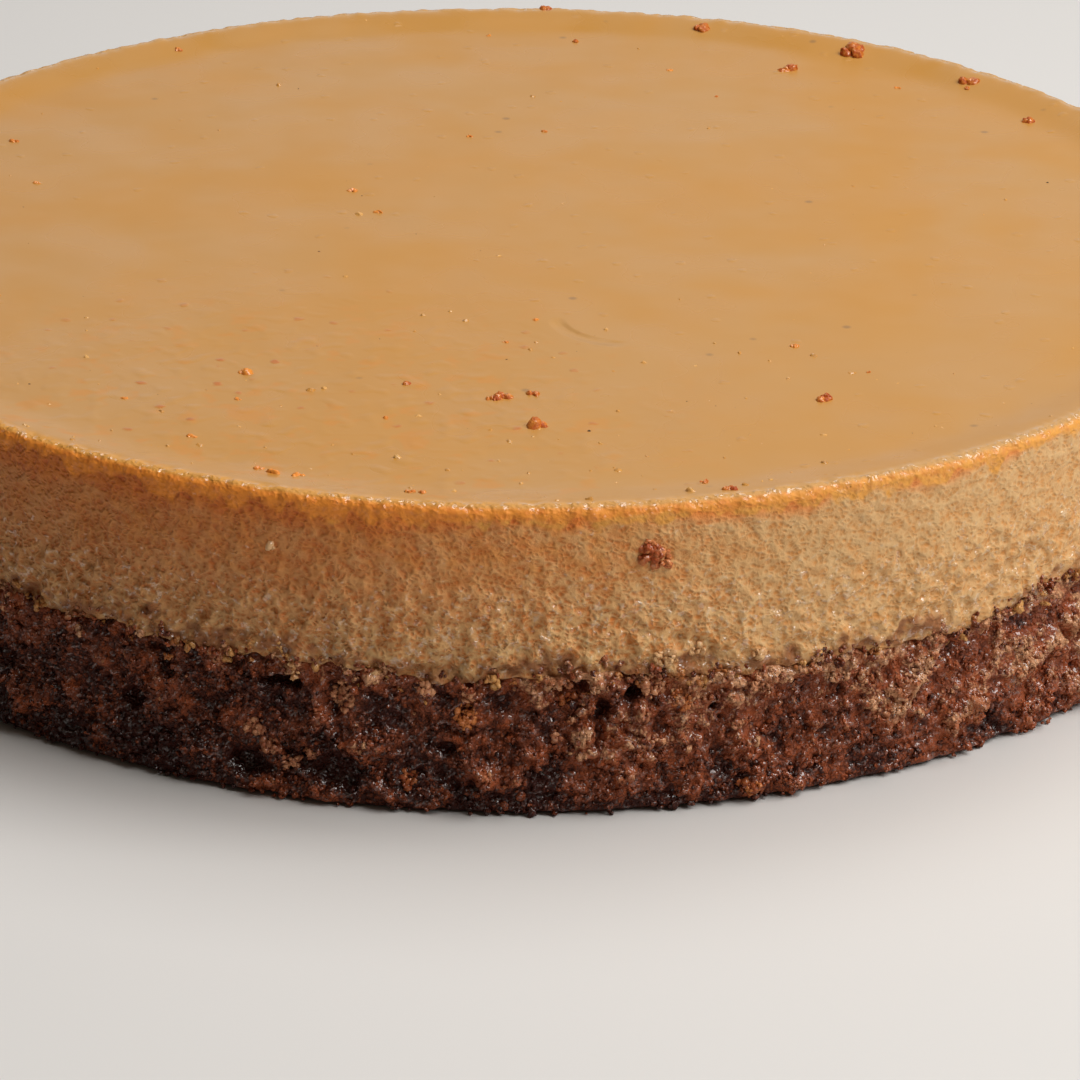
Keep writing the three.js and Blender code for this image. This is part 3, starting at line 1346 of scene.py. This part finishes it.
@dataclass
class SpongeLayer:
    """The sponge: flat below, with a crumbly side full of holes."""

    cake: CakeFrame
    seam: Seam
    columns: int = 1600
    side_rows: int = 54
    tuck_width: float = 2.2
    tuck_height: float = 1.2
    stand_out: float = 0.2  # how far the side stands out from the flan's outline
    swell_width: float = 14.0
    swell_height: float = 0.5
    clump_width: float = 4.6
    clump_height: float = 2.1
    crumb_size: float = 2.1
    crumb_height: float = 0.9
    small_crumb_size: float = 1.1
    small_crumb_height: float = 1.0
    grit_width: float = 1.2
    grit_height: float = 0.4
    hole_width: float = 4.0
    hole_depth: float = 1.2
    underside_rings: Rings = ((0.3, 4), (0.6, 3), (0.85, 2), (0.95, 1))  # share of the radius, halvings
    foot_steps: tuple[float, ...] = (0.0, 0.35, 0.7)  # share of the way from the tuck to the side
    top_rings: Rings = ((0.95, 0), (0.85, 1), (0.6, 2), (0.3, 3))  # share of the radius, halvings
    # Painted light and shade: the crumb is painted paler towards the first angle, where the light falls, and
    # darker towards the second, which is in shade.
    painted_light_side_deg: float = -40.0
    painted_shade_side_deg: float = -142.0
    dents: tuple[Dent, ...] = (
        Dent(-107.0, 19.2, 3.0, 1.3, 2.6), Dent(-85.8, 21.2, 2.2, 0.8, 2.2), Dent(-81.4, 19.8, 1.8, 1.2, 2.4),
        Dent(-83.9, 15.7, 1.2, 4.0, 1.8), Dent(-102.3, 5.5, 4.6, 2.6, 1.9), Dent(-109.5, 4.8, 4.0, 2.4, 2.0),
        Dent(-94.4, 13.4, 2.4, 0.9, 1.4), Dent(-75.8, 16.8, 0.7, 0.7, 1.8), Dent(-119.0, 12.0, 2.6, 1.6, 2.2),
    )

    def relief(self, angle: Array, height: Array) -> Array:
        """How far the side stands out: swells, ragged clumps, two sizes of crumb and deep holes.

        A clump is noise plus a share of its square, a large crumb falls off with the square of the distance
        from its middle and a small one with the distance, and all of it is calmer at the foot.

        Args:
            angle: Angles round the cake.
            height: Heights above the floor.

        Returns:
            The relief.
        """
        place = around(self.cake.radius, angle, height)
        mixed = stirred(place, 2.6, 1.0, 411)
        swells = self.swell_height * layered_noise(place, self.swell_width, 2, 401)
        coarse = nearest_grain(mixed, self.crumb_size, 402)
        small = nearest_grain(mixed, self.small_crumb_size, 403)
        clumps = layered_noise(mixed, self.clump_width, 3, 406)
        clumps = self.clump_height * (clumps + 0.9 * clumps**2)
        grains = self.crumb_height * (0.5 - coarse**2) + self.small_crumb_height * (0.5 - small)
        crumb = clumps + grains + self.grit_height * layered_noise(place, self.grit_width, 2, 405)
        hollow = self.hole_depth * smoothstep(layered_noise(mixed, self.hole_width, 3, 404), 0.2, 0.55)
        for dent in self.dents:
            hollow = np.maximum(hollow, dent.at(mixed, self.cake.radius))
        calm = smoothstep(height, 0.0, 3.5)
        return swells + (crumb - hollow) * (0.35 + 0.65 * calm)

    def tone(self, angle: Array, height: Array, relief: Array) -> Array:
        """How pale the crumb looks: by its relief, which paints shade into the hollows, with painted light
        higher up and towards the lit side, painted shade on the far side, and paler where custard has soaked
        in near the seam.

        Args:
            angle: Angles round the cake.
            height: Heights above the floor.
            relief: How far the side stands out there.

        Returns:
            From 0.1 in the darkest hollows to 1.2.
        """
        place = around(self.cake.radius, angle, height)
        soaked = smoothstep(self.seam.height(angle) - height, 5.0, 0.4)
        soaked = soaked * (0.6 + lattice_noise(place, 3.0, 421))
        patchy = 0.42 * layered_noise(place, 5.0, 2, 422)
        # Painted light on the lit side and painted shade on the far side; the relief paints shade into
        # hollows, more strongly on the lit side.
        turn = np.cos(angle - math.radians(self.painted_light_side_deg))
        turn = np.maximum(turn - 0.68, 0)
        grain = 0.27 + 0.5 * turn
        shade = smoothstep(np.cos(angle - math.radians(self.painted_shade_side_deg)), 0.8, 0.98)
        patchy = patchy + 1.2 * turn - 0.16 * shade
        # Painted shade and light: hollows darker by the relief, and the crumb painted lighter higher up.
        return np.clip(0.38 + patchy + grain * relief + 0.1 * (height / 24.0 - 0.5) + 0.35 * soaked, 0.1, 1.2)

    def side_radius(self, angle: Array, height: Array) -> Array:
        """Radius of the side: the outline, a little outside the flan's, and its relief."""
        return self.cake.edge.at(angle) + self.stand_out + self.relief(angle, height)

    def build(self) -> bpy.types.Object:
        """Stacks the rings: underside, curled foot, side and upper face.

        Returns:
            The piece, which replaces the frame's node.
        """
        stack = RingStack()
        self.add_underside(stack)
        self.add_side(stack)
        self.add_top(stack)
        piece = settle(stack.build("sponge_layer"), Node.SPONGE, SpongeFinish().material())
        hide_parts(Node.SPONGE.value)
        return piece

    def add_underside(self, stack: RingStack) -> None:
        """A flat face whose edge curls up to the side.

        Args:
            stack: Where the rings go.
        """
        stack.add(np.array([[0.0, 0.0, 0.0]]), tone=0.4, wet=0.0)
        for share, halvings in self.underside_rings:
            angle = ring_angles(self.columns >> halvings)
            stack.add(around(share * self.cake.radius, angle, 0.0 * angle), tone=0.4, wet=0.0)
        angle = ring_angles(self.columns)
        foot = self.side_radius(angle, 0.0 * angle)
        for share in self.foot_steps:
            radius = foot - self.tuck_width * (1 - share)
            stack.add(around(radius, angle, self.tuck_height * share**3 + 0.0 * angle), tone=0.35, wet=0.0)

    def add_side(self, stack: RingStack) -> None:
        """Rows from the curled foot to the seam, where the last of them bend inwards.

        Args:
            stack: Where the rings go.
        """
        angle = ring_angles(self.columns)
        top = self.seam.height(angle) + 0.3
        for row in range(self.side_rows):
            share = row / (self.side_rows - 1)
            height = self.tuck_height * 0.8 * (1 - share) + top * share
            relief = self.relief(angle, height)
            bend = 0.8 * float(smoothstep(np.array(share), 0.97, 1.0))
            radius = self.cake.edge.at(angle) + self.stand_out + relief - bend
            wet = smoothstep(relief - self.relief(angle, height + 0.3), 0.0, 0.2)
            stack.add(around(radius, angle, height), tone=self.tone(angle, height, relief), wet=wet)

    def add_top(self, stack: RingStack) -> None:
        """The upper face, under the flan.

        Args:
            stack: Where the rings go.
        """
        mean = float(self.cake.seam.values.mean())
        for share, halvings in self.top_rings:
            angle = ring_angles(self.columns >> halvings)
            ragged = float(smoothstep(np.array(share), 0.5, 0.95))
            height = mean + ragged * (self.seam.height(angle) - mean) - 0.2
            stack.add(around(share * self.cake.radius, angle, height), tone=0.4, wet=0.0)
        stack.add(np.array([[0.0, 0.0, mean - 0.2]]), tone=0.4, wet=0.0)


@dataclass(frozen=True)
class CrumbSize:
    """One size of loose crumb."""

    name: str
    count: int
    low: float  # smallest radius
    high: float  # largest radius
    lift: float  # how far a crumb's centre stands out of the side, in radii
    seed: int
    shape: LumpShape = LumpShape(3, 6, 0.35, 0.35)
    grains: int = 1  # lumps that make up one crumb
    spread: float = 0.0  # how far apart they lie, in radii


@dataclass
class SpongeCrumbs:
    """Loose crumb that stands on the sponge's side, in several sizes."""

    sponge: SpongeLayer
    sizes: tuple[CrumbSize, ...] = (
        CrumbSize("sponge_crumb_fine", 5400, 0.26, 0.42, 0.2, 501),
        CrumbSize("sponge_crumb_medium", 5000, 0.4, 0.7, -0.1, 502),
        CrumbSize("sponge_crumb_cluster", 600, 0.34, 0.5, 0.4, 503, grains=9, spread=1.3),
    )

    def build(self) -> list[bpy.types.Object]:
        """One piece for each size."""
        finish = SpongeFinish(name="loose_crumb").material()
        return [settle(self.scatter(size), Node.SPONGE, finish) for size in self.sizes]

    def scatter(self, size: CrumbSize) -> bpy.types.Object:
        """Crumbs of one size, spread over the side and thickest where the side stands out.

        Args:
            size: Their size.

        Returns:
            The piece.
        """
        random = np.random.default_rng(size.seed)
        tries = 3 * size.count
        angle = random.uniform(0, FULL_TURN, tries)
        radii = size.low + (size.high - size.low) * random.uniform(0, 1, tries) ** 2
        top = self.sponge.seam.height(angle)
        reach = radii * (1 + size.spread)
        height = reach + (top - 1.2 * reach) * random.uniform(0, 1, tries)
        relief = self.sponge.relief(angle, height)
        chosen = np.argsort(-(relief + random.normal(0, 0.9, tries)))[: size.count]
        angle, radii, height, relief = angle[chosen], radii[chosen], height[chosen], relief[chosen]
        out = self.sponge.side_radius(angle, height) + size.lift * radii
        # The crumbs take the side's tone, with its painted light and shade.
        tones = self.sponge.tone(angle, height, 0.7 * relief) + random.normal(0, 0.16, size.count)
        centres = np.repeat(around(out, angle, height), size.grains, axis=0)
        radii, tones = np.repeat(radii, size.grains), np.repeat(tones, size.grains)
        way = random.normal(size=centres.shape)
        way = way / np.linalg.norm(way, axis=1, keepdims=True)
        centres = centres + size.spread * radii[:, None] * way
        tones = np.clip(tones + random.normal(0, 0.1, len(tones)), 0, 1.2)
        return size.shape.scatter(size.name, centres, radii, tones, size.seed + 1)


@dataclass
class SeamCrumbs:
    """Sponge crumb that sticks to the flan's foot, above and below the seam."""

    sponge: SpongeLayer
    flan: FlanLayer
    count: int = 620
    grains: int = 6
    rise: float = 0.3  # how far above the seam their middle lies
    spread: float = 0.9  # and how far they lie from it

    def build(self) -> bpy.types.Object:
        """Little heaps of broken lumps, half sunk into whichever layer lies behind them.

        Returns:
            The piece.
        """
        random = np.random.default_rng(605)
        angle = random.uniform(0, FULL_TURN, self.count)
        radii = 0.2 + 0.3 * random.uniform(0, 1, self.count) ** 2
        height = self.sponge.seam.height(angle) + random.normal(self.rise, self.spread, self.count)
        out = np.maximum(self.flan.side_radius(angle, height), self.sponge.side_radius(angle, height)) - 0.2
        centres = np.repeat(around(out, angle, height), self.grains, axis=0)
        radii = np.repeat(radii, self.grains)
        centres = centres + 0.9 * radii[:, None] * random.normal(size=centres.shape)
        tones = np.clip(np.repeat(random.normal(0.75, 0.25, self.count), self.grains), 0.2, 1.2)
        piece = LumpShape(3, 6, 0.35, 0.35).scatter("seam_crumbs", centres, radii, tones, 606)
        return settle(piece, Node.SPONGE, SpongeFinish(name="seam_crumb").material())


@dataclass
class CurdBits:
    """Bits of custard torn off along the seam, on the foot of the flan and the top of the sponge."""

    sponge: SpongeLayer
    flan: FlanLayer
    count: int = 300
    grains: int = 8

    def build(self) -> bpy.types.Object:
        """Little heaps of lumps, most of them close to the seam and half sunk in.

        Returns:
            The piece.
        """
        random = np.random.default_rng(601)
        angle = random.uniform(0, FULL_TURN, self.count)
        radii = 0.16 + 0.36 * random.uniform(0, 1, self.count) ** 2.5
        below = random.normal(-0.2, 0.8, self.count) + 3.5 * random.uniform(0, 1, self.count) ** 8
        height = self.sponge.seam.height(angle) - below
        sides = self.flan.side_radius(angle, height), self.sponge.side_radius(angle, height)
        out = np.where(below < 0, *sides)
        centres = np.repeat(around(out - 0.2 * radii, angle, height), self.grains, axis=0)
        radii = np.repeat(radii, self.grains)
        way = random.normal(size=centres.shape)
        centres = centres + radii[:, None] * way * 0.75
        tones = np.clip(np.repeat(random.uniform(0, 1, self.count), self.grains) + 0.15 * way[:, 0], 0, 1)
        piece = LumpShape(4, 7, 0.3, 0.45).scatter("curd_bits", centres, radii, tones, 602)
        finish = PlainFoodFinish("torn_curd", (0.36, 0.12, 0.035), (0.66, 0.34, 0.11), 0.3, 0.7)
        return settle(piece, Node.FLAN, finish.material())


@dataclass
class SkinBlisters:
    """Low blisters in the flan's skin, thickest towards the front and the rim."""

    flan: FlanLayer
    count: int = 240

    def build(self) -> bpy.types.Object:
        """Small lumps sunk deep into the upper face.

        Returns:
            The piece.
        """
        random = np.random.default_rng(615)
        tries = 4 * self.count
        reach = self.flan.cake.radius * 0.975 * np.sqrt(random.uniform(0, 1, tries))
        angle = random.uniform(0, FULL_TURN, tries)
        likely = 0.06 + 0.94 * smoothstep(reach * np.sin(angle), -30.0, -110.0)
        kept = np.flatnonzero(random.uniform(0, 1, tries) < likely)[: self.count]
        reach, angle = reach[kept], angle[kept]
        radii = 0.3 + 0.6 * random.uniform(0, 1, len(kept)) ** 3
        height = self.flan.top_height(reach, angle) - 0.76 * radii
        piece = LumpShape(4, 7, 0.3, 0.35).scatter("skin_blisters", around(reach, angle, height), radii,
                                                  random.uniform(0, 1, len(kept)), 616)
        # Painted light: the blisters are coloured paler than the skin around them, for their lit tops.
        finish = PlainFoodFinish("skin_blister", (0.60, 0.27, 0.05), (0.74, 0.40, 0.12), 0.35, 0.8)
        return settle(piece, Node.FLAN, finish.material())


@dataclass(frozen=True)
class Crumb:
    """One crumb that lies at a known place."""

    x: float
    y: float
    radius: float
    tone: float = 0.45


@dataclass
class TopCrumbs:
    """Sponge crumbs that fell on the flan when it was turned out."""

    flan: FlanLayer
    placed: tuple[Crumb, ...] = (
        Crumb(3.1, -83.0, 1.9), Crumb(-2.2, -72.6, 1.3), Crumb(-3.9, -73.3, 0.9), Crumb(2.3, -71.1, 0.9),
        Crumb(31.5, -110.6, 1.1), Crumb(47.2, -72.0, 1.1), Crumb(-35.6, -102.8, 1.3, 1.0),
        Crumb(-32.2, -104.3, 1.1, 1.1), Crumb(-38.2, -101.4, 0.8, 0.9), Crumb(-14.0, -111.9, 0.7, 0.7),
        Crumb(-15.6, -111.7, 0.6, 0.7), Crumb(-49.2, -89.5, 0.8, 0.9), Crumb(-60.2, -74.4, 0.6, 1.0),
        Crumb(-42.7, -74.4, 0.6, 1.0), Crumb(-42.2, -63.1, 1.2, 1.3), Crumb(34.0, 109.0, 1.6),
        Crumb(49.0, 87.5, 1.7), Crumb(61.5, 95.5, 2.4), Crumb(81.0, 79.0, 1.5), Crumb(5.0, 117.5, 1.2),
        Crumb(90.0, 60.0, 1.3),
    )
    scattered: int = 22
    grains: int = 5
    flatness: float = 0.15

    def build(self) -> bpy.types.Object:
        """Each crumb is a flat heap of lumps; some more crumbs are scattered thinly over the flan.

        Returns:
            The piece.
        """
        random = np.random.default_rng(621)
        reach = self.flan.cake.radius * 0.95 * np.sqrt(random.uniform(0, 1, self.scattered))
        turn = random.uniform(0, FULL_TURN, self.scattered)
        flat = np.array([(crumb.x, crumb.y) for crumb in self.placed])
        flat = np.concatenate([flat, np.stack([reach * np.cos(turn), reach * np.sin(turn)], axis=1)])
        few = self.scattered
        widths = np.concatenate([[crumb.radius for crumb in self.placed], random.uniform(0.3, 0.7, few)])
        tones = np.concatenate([[crumb.tone for crumb in self.placed], random.uniform(0.5, 1.1, few)])
        tones = np.repeat(tones, self.grains)
        tones = np.clip(tones + random.normal(0, 0.1, len(tones)), 0, 1.4)
        flat, widths = np.repeat(flat, self.grains, axis=0), np.repeat(widths, self.grains)
        way = random.normal(0, 1, flat.shape)
        way = way / np.maximum(np.linalg.norm(way, axis=1, keepdims=True), 1.0)
        flat = flat + way * widths[:, None] * (0.7, 0.5)
        radii = widths * random.uniform(0.45, 0.8, len(widths))
        angle, out = np.arctan2(flat[:, 1], flat[:, 0]), np.hypot(flat[:, 0], flat[:, 1])
        height = self.flan.top_height(out, angle) + (self.flatness - 0.3 - 0.4 * tones) * radii
        centres = around(out, angle, height)
        piece = LumpShape(8, 12, 0.16, 0.4).scatter("top_crumbs", centres, radii, tones, 622)
        finish = PlainFoodFinish("glazed_crumb", (0.40, 0.062, 0.01), (0.80, 0.28, 0.04), 0.4, 0.6)
        return settle(piece, Node.SPONGE, finish.material())


@dataclass
class VanillaSpecks:
    """Dark vanilla specks that lie in the flan's skin."""

    flan: FlanLayer
    count: int = 60

    def build(self) -> bpy.types.Object:
        """Very small lumps sunk into the upper face, more of them towards the front.

        Returns:
            The piece.
        """
        random = np.random.default_rng(631)
        tries = 3 * self.count
        flat = random.uniform(-1, 1, (tries, 2)) * self.flan.cake.radius * 0.97
        inside = np.hypot(flat[:, 0], flat[:, 1]) < self.flan.cake.radius * 0.96
        front = random.uniform(0, 1, tries) < 0.35 + 0.65 * smoothstep(flat[:, 1], 20.0, -60.0)
        flat = flat[inside & front][: self.count]
        angle, out = np.arctan2(flat[:, 1], flat[:, 0]), np.hypot(flat[:, 0], flat[:, 1])
        radii = 0.1 + 0.25 * random.uniform(0, 1, len(flat)) ** 5
        height = self.flan.top_height(out, angle) - 0.7 * radii
        tones = random.uniform(0, 1, len(flat)) ** 2
        centres = around(out, angle, height)
        piece = LumpShape(3, 6, 0.2, 0.4).scatter("vanilla_specks", centres, radii, tones, 632)
        finish = PlainFoodFinish("vanilla_seed", (0.03, 0.016, 0.01), (0.26, 0.11, 0.03), 0.4)
        return settle(piece, Node.FLAN, finish.material())


@dataclass(frozen=True)
class Clump:
    """A small heap of crumb stuck at a known place on the side."""

    angle_deg: float
    height: float
    width: float
    tall: float
    tone: float


@dataclass
class StuckClumps:
    """Clumps of crumb that stick to the side of a layer."""

    name: str
    layer: FlanLayer | SpongeLayer
    finish: PlainFoodFinish
    clumps: tuple[Clump, ...]
    grain: float = 0.62  # mean radius of a lump
    shape: LumpShape = LumpShape(4, 7, 0.3, 0.45)

    def build(self) -> bpy.types.Object:
        """Each clump is a disc of lumps, one for each square of a grain's width, thickest in the middle.

        Returns:
            The piece.
        """
        random = np.random.default_rng(641)
        centres, radii, tones = [], [], []
        for clump in self.clumps:
            count = max(4, round(0.9 * clump.width * clump.tall / (2 * self.grain) ** 2 * 2))
            reach, turn = np.sqrt(random.uniform(0, 1, count)), random.uniform(0, FULL_TURN, count)
            across, up = 0.5 * clump.width * reach * np.cos(turn), 0.5 * clump.tall * reach * np.sin(turn)
            angle = math.radians(clump.angle_deg) + across / self.layer.cake.radius
            height = np.maximum(clump.height + up, 0.4)
            out = self.layer.side_radius(angle, height) - 0.1 + 0.5 * (1 - reach)
            centres.append(around(out, angle, height))
            radii.append(self.grain * random.uniform(0.6, 1.6, count))
            tones.append(np.clip(clump.tone + random.normal(0, 0.2, count), 0, 1))
        lumps = self.shape.scatter(self.name, *map(np.concatenate, (centres, radii, tones)), 642)
        return settle(lumps, Node.SPONGE, self.finish.material())


def stuck_clumps(flan: FlanLayer, sponge: SpongeLayer) -> list[StuckClumps]:
    """The clumps that stick to the sides, by their kind of food.

    Args:
        flan: The upper layer.
        sponge: The lower layer.

    Returns:
        One set of clumps for each kind.
    """
    stained = PlainFoodFinish("stained_crumb", (0.42, 0.085, 0.022), (0.72, 0.27, 0.09), 0.35, 1.0)
    tan = PlainFoodFinish("tan_crumb", (0.30, 0.09, 0.04), (0.68, 0.32, 0.16), 0.3, 0.7)
    rusty = PlainFoodFinish("rusty_crumb", (0.28, 0.06, 0.018), (0.62, 0.21, 0.06), 0.3, 0.8)
    curd = PlainFoodFinish("curd_clump", (0.50, 0.21, 0.07), (0.76, 0.46, 0.22), 0.3, 0.7)
    return [
        StuckClumps("side_crumb", flan, stained, (
            Clump(-80.6, 43.1, 2.6, 2.6, 0.35), Clump(-79.7, 41.2, 3.0, 2.8, 0.5),
            Clump(-80.0, 42.2, 1.8, 3.2, 0.3), Clump(-80.9, 41.6, 1.6, 1.4, 0.4),
        ), 0.44, LumpShape(8, 12, 0.3, 0.4)),
        StuckClumps("tan_clumps", sponge, tan, (
            Clump(-102.3, 18.2, 3.6, 5.0, 0.6), Clump(-96.3, 20.4, 2.8, 2.2, 0.8),
            Clump(-93.3, 19.6, 2.0, 2.0, 0.6), Clump(-109.0, 11.2, 3.4, 2.6, 0.4),
            Clump(-107.6, 8.6, 3.4, 2.6, 0.35), Clump(-106.3, 6.4, 3.0, 2.4, 0.4),
            Clump(-104.8, 7.8, 2.6, 2.2, 0.3), Clump(-80.1, 20.8, 3.8, 3.6, 0.6),
            Clump(-72.6, 20.2, 2.2, 3.8, 0.7), Clump(-80.1, 12.0, 3.8, 1.2, 0.5),
            Clump(-80.8, 15.6, 1.6, 3.0, 0.3), Clump(-86.9, 13.2, 1.6, 2.0, 0.3),
        ), 0.36),
        StuckClumps("rusty_clumps", sponge, rusty, (
            Clump(-93.5, 16.4, 3.4, 3.8, 0.9), Clump(-78.1, 18.4, 3.0, 3.2, 0.6),
            Clump(-86.2, 19.0, 2.4, 2.2, 0.4), Clump(-72.8, 2.8, 3.6, 2.0, 0.5),
            Clump(-97.5, 5.4, 2.4, 3.0, 0.2),
        ), 0.36),
        StuckClumps("curd_clumps", flan, curd, (
            Clump(-79.2, 25.6, 3.6, 2.4, 0.8), Clump(-76.9, 26.2, 2.0, 1.8, 0.8),
            Clump(-105.9, 21.8, 1.6, 3.2, 0.5), Clump(-100.0, 22.2, 1.8, 2.8, 0.6),
            Clump(-72.4, 24.6, 2.4, 1.4, 0.7), Clump(-107.5, 41.0, 0.8, 0.8, 1.0),
        ), 0.38),
    ]


# ---------------------------------------------------------------------------------------------------------
# Studio
# ---------------------------------------------------------------------------------------------------------


@dataclass(frozen=True)
class Viewpoint:
    """A long lens low in front of the cake, which looks down on it and crops both its sides."""

    lens: float = 173.33
    sensor: float = 36.0
    distance: float = 7.422  # cake radii from the centre of the underside
    elevation_deg: float = 23.19
    yaw_deg: float = 0.27
    pitch_deg: float = -0.43
    roll_deg: float = 0.55

    def build(self, cake: CakeFrame) -> bpy.types.Object:
        """Aims the camera at the centre of the underside, then yaws, pitches and rolls it slightly.

        Args:
            cake: The frame's measures, of which the radius sets how far away the camera stands.

        Returns:
            The camera.
        """
        tilt = math.radians(self.elevation_deg)
        place = Vector((0, -math.cos(tilt), math.sin(tilt))) * self.distance * cake.radius * MM
        ahead, right = -place.normalized(), Vector((1, 0, 0))
        yaw, pitch, roll = (math.radians(turn) for turn in (self.yaw_deg, self.pitch_deg, self.roll_deg))
        up = right.cross(ahead)
        ahead = ahead * math.cos(yaw) + right * math.sin(yaw)
        right = ahead.cross(up).normalized()
        ahead = ahead * math.cos(pitch) + up * math.sin(pitch)
        up = right.cross(ahead)
        right, up = right * math.cos(roll) + up * math.sin(roll), up * math.cos(roll) - right * math.sin(roll)
        data = bpy.data.cameras.new("camera")
        data.lens, data.sensor_width = self.lens, self.sensor
        data.clip_start, data.clip_end = 0.05, 20.0
        camera = bpy.data.objects.new("camera", data)
        turn = Matrix((right, up, -ahead)).transposed().to_4x4()
        camera.matrix_world = Matrix.Translation(place) @ turn
        bpy.context.collection.objects.link(camera)
        bpy.context.scene.camera = camera
        return camera


@dataclass(frozen=True)
class Softbox:
    """A square area light aimed at the cake. Azimuth 0 is in front of the cake and 90 on its right."""

    name: str
    azimuth_deg: float
    elevation_deg: float
    distance: float  # metres
    side: float  # metres
    power: float  # watts
    colour: Colour = (1.0, 1.0, 1.0)

    def build(self) -> bpy.types.Object:
        """Makes the light and aims it.

        Returns:
            The light.
        """
        azimuth, tilt = math.radians(self.azimuth_deg), math.radians(self.elevation_deg)
        flat = math.cos(tilt)
        way = Vector((math.sin(azimuth) * flat, -math.cos(azimuth) * flat, math.sin(tilt)))
        data = bpy.data.lights.new(self.name, "AREA")
        data.shape, data.size, data.energy, data.color = "SQUARE", self.side, self.power, self.colour
        light = bpy.data.objects.new(self.name, data)
        light.location = way * self.distance
        light.visible_camera = False
        light.rotation_euler = (-way).to_track_quat("-Z", "Y").to_euler()
        bpy.context.collection.objects.link(light)
        return light


@dataclass
class Studio:
    """A pale floor, soft lights and a pale surround."""

    floor_half: float = 4000.0
    floor_colour: Colour = (0.71, 0.70, 0.68)
    surround: Colour = (1.0, 0.78, 0.6)
    surround_strength: float = 0.08
    lights: tuple[Softbox, ...] = (
        Softbox("window", 68.0, 50.0, 1.1, 0.9, 12.5, (1.0, 0.98, 0.96)),
        Softbox("ceiling", 165.0, 68.0, 1.2, 0.8, 5.5, (1.0, 1.0, 1.0)),
        Softbox("backdrop", 180.0, 15.0, 2.4, 1.6, 4.5, (1.0, 0.98, 0.97)),
    )

    def build(self) -> None:
        """Makes the floor, the lights and the surround, and sets how the render shows colours."""
        half = self.floor_half
        corners = np.array([[-half, -half, 0], [half, -half, 0], [half, half, 0], [-half, half, 0]])
        floor = make_mesh("floor", corners - [0, 0, 0.05], [[0, 1, 2, 3]], {})
        bench = Bench("pale_floor")
        floor.data.materials.append(bench.finish(self.floor_colour, 0.6, None))
        for light in self.lights:
            light.build()
        world = bpy.data.worlds.new("surround")
        world.use_nodes = True
        background = world.node_tree.nodes["Background"]
        background.inputs["Color"].default_value = (*self.surround, 1.0)
        background.inputs["Strength"].default_value = self.surround_strength
        bpy.context.scene.world = world
        bpy.context.scene.view_settings.view_transform = "Standard"


def main() -> None:
    """Builds the camera, the cake and the studio in order, and reports each piece."""
    logging.basicConfig(level=logging.INFO, format="%(name)s: %(message)s")
    cake = CakeFrame.read()
    Viewpoint().build(cake)
    seam = Seam(cake)
    sponge = SpongeLayer(cake, seam)
    flan = FlanLayer(cake, seam)
    custard = flan.build()
    pieces = [custard, sponge.build(), *SpongeCrumbs(sponge).build()]
    pieces += [SeamCrumbs(sponge, flan).build(), CurdBits(sponge, flan).build()]
    pieces += [SkinBlisters(flan).build(), TopCrumbs(flan).build(), VanillaSpecks(flan).build()]
    pieces += [clumps.build() for clumps in stuck_clumps(flan, sponge)]
    for piece in pieces:
        piece.data.calc_loop_triangles()
        LOG.info("%s: %d triangles", piece.name, len(piece.data.loop_triangles))
    Studio().build()


if __name__ == "__main__":
    main()
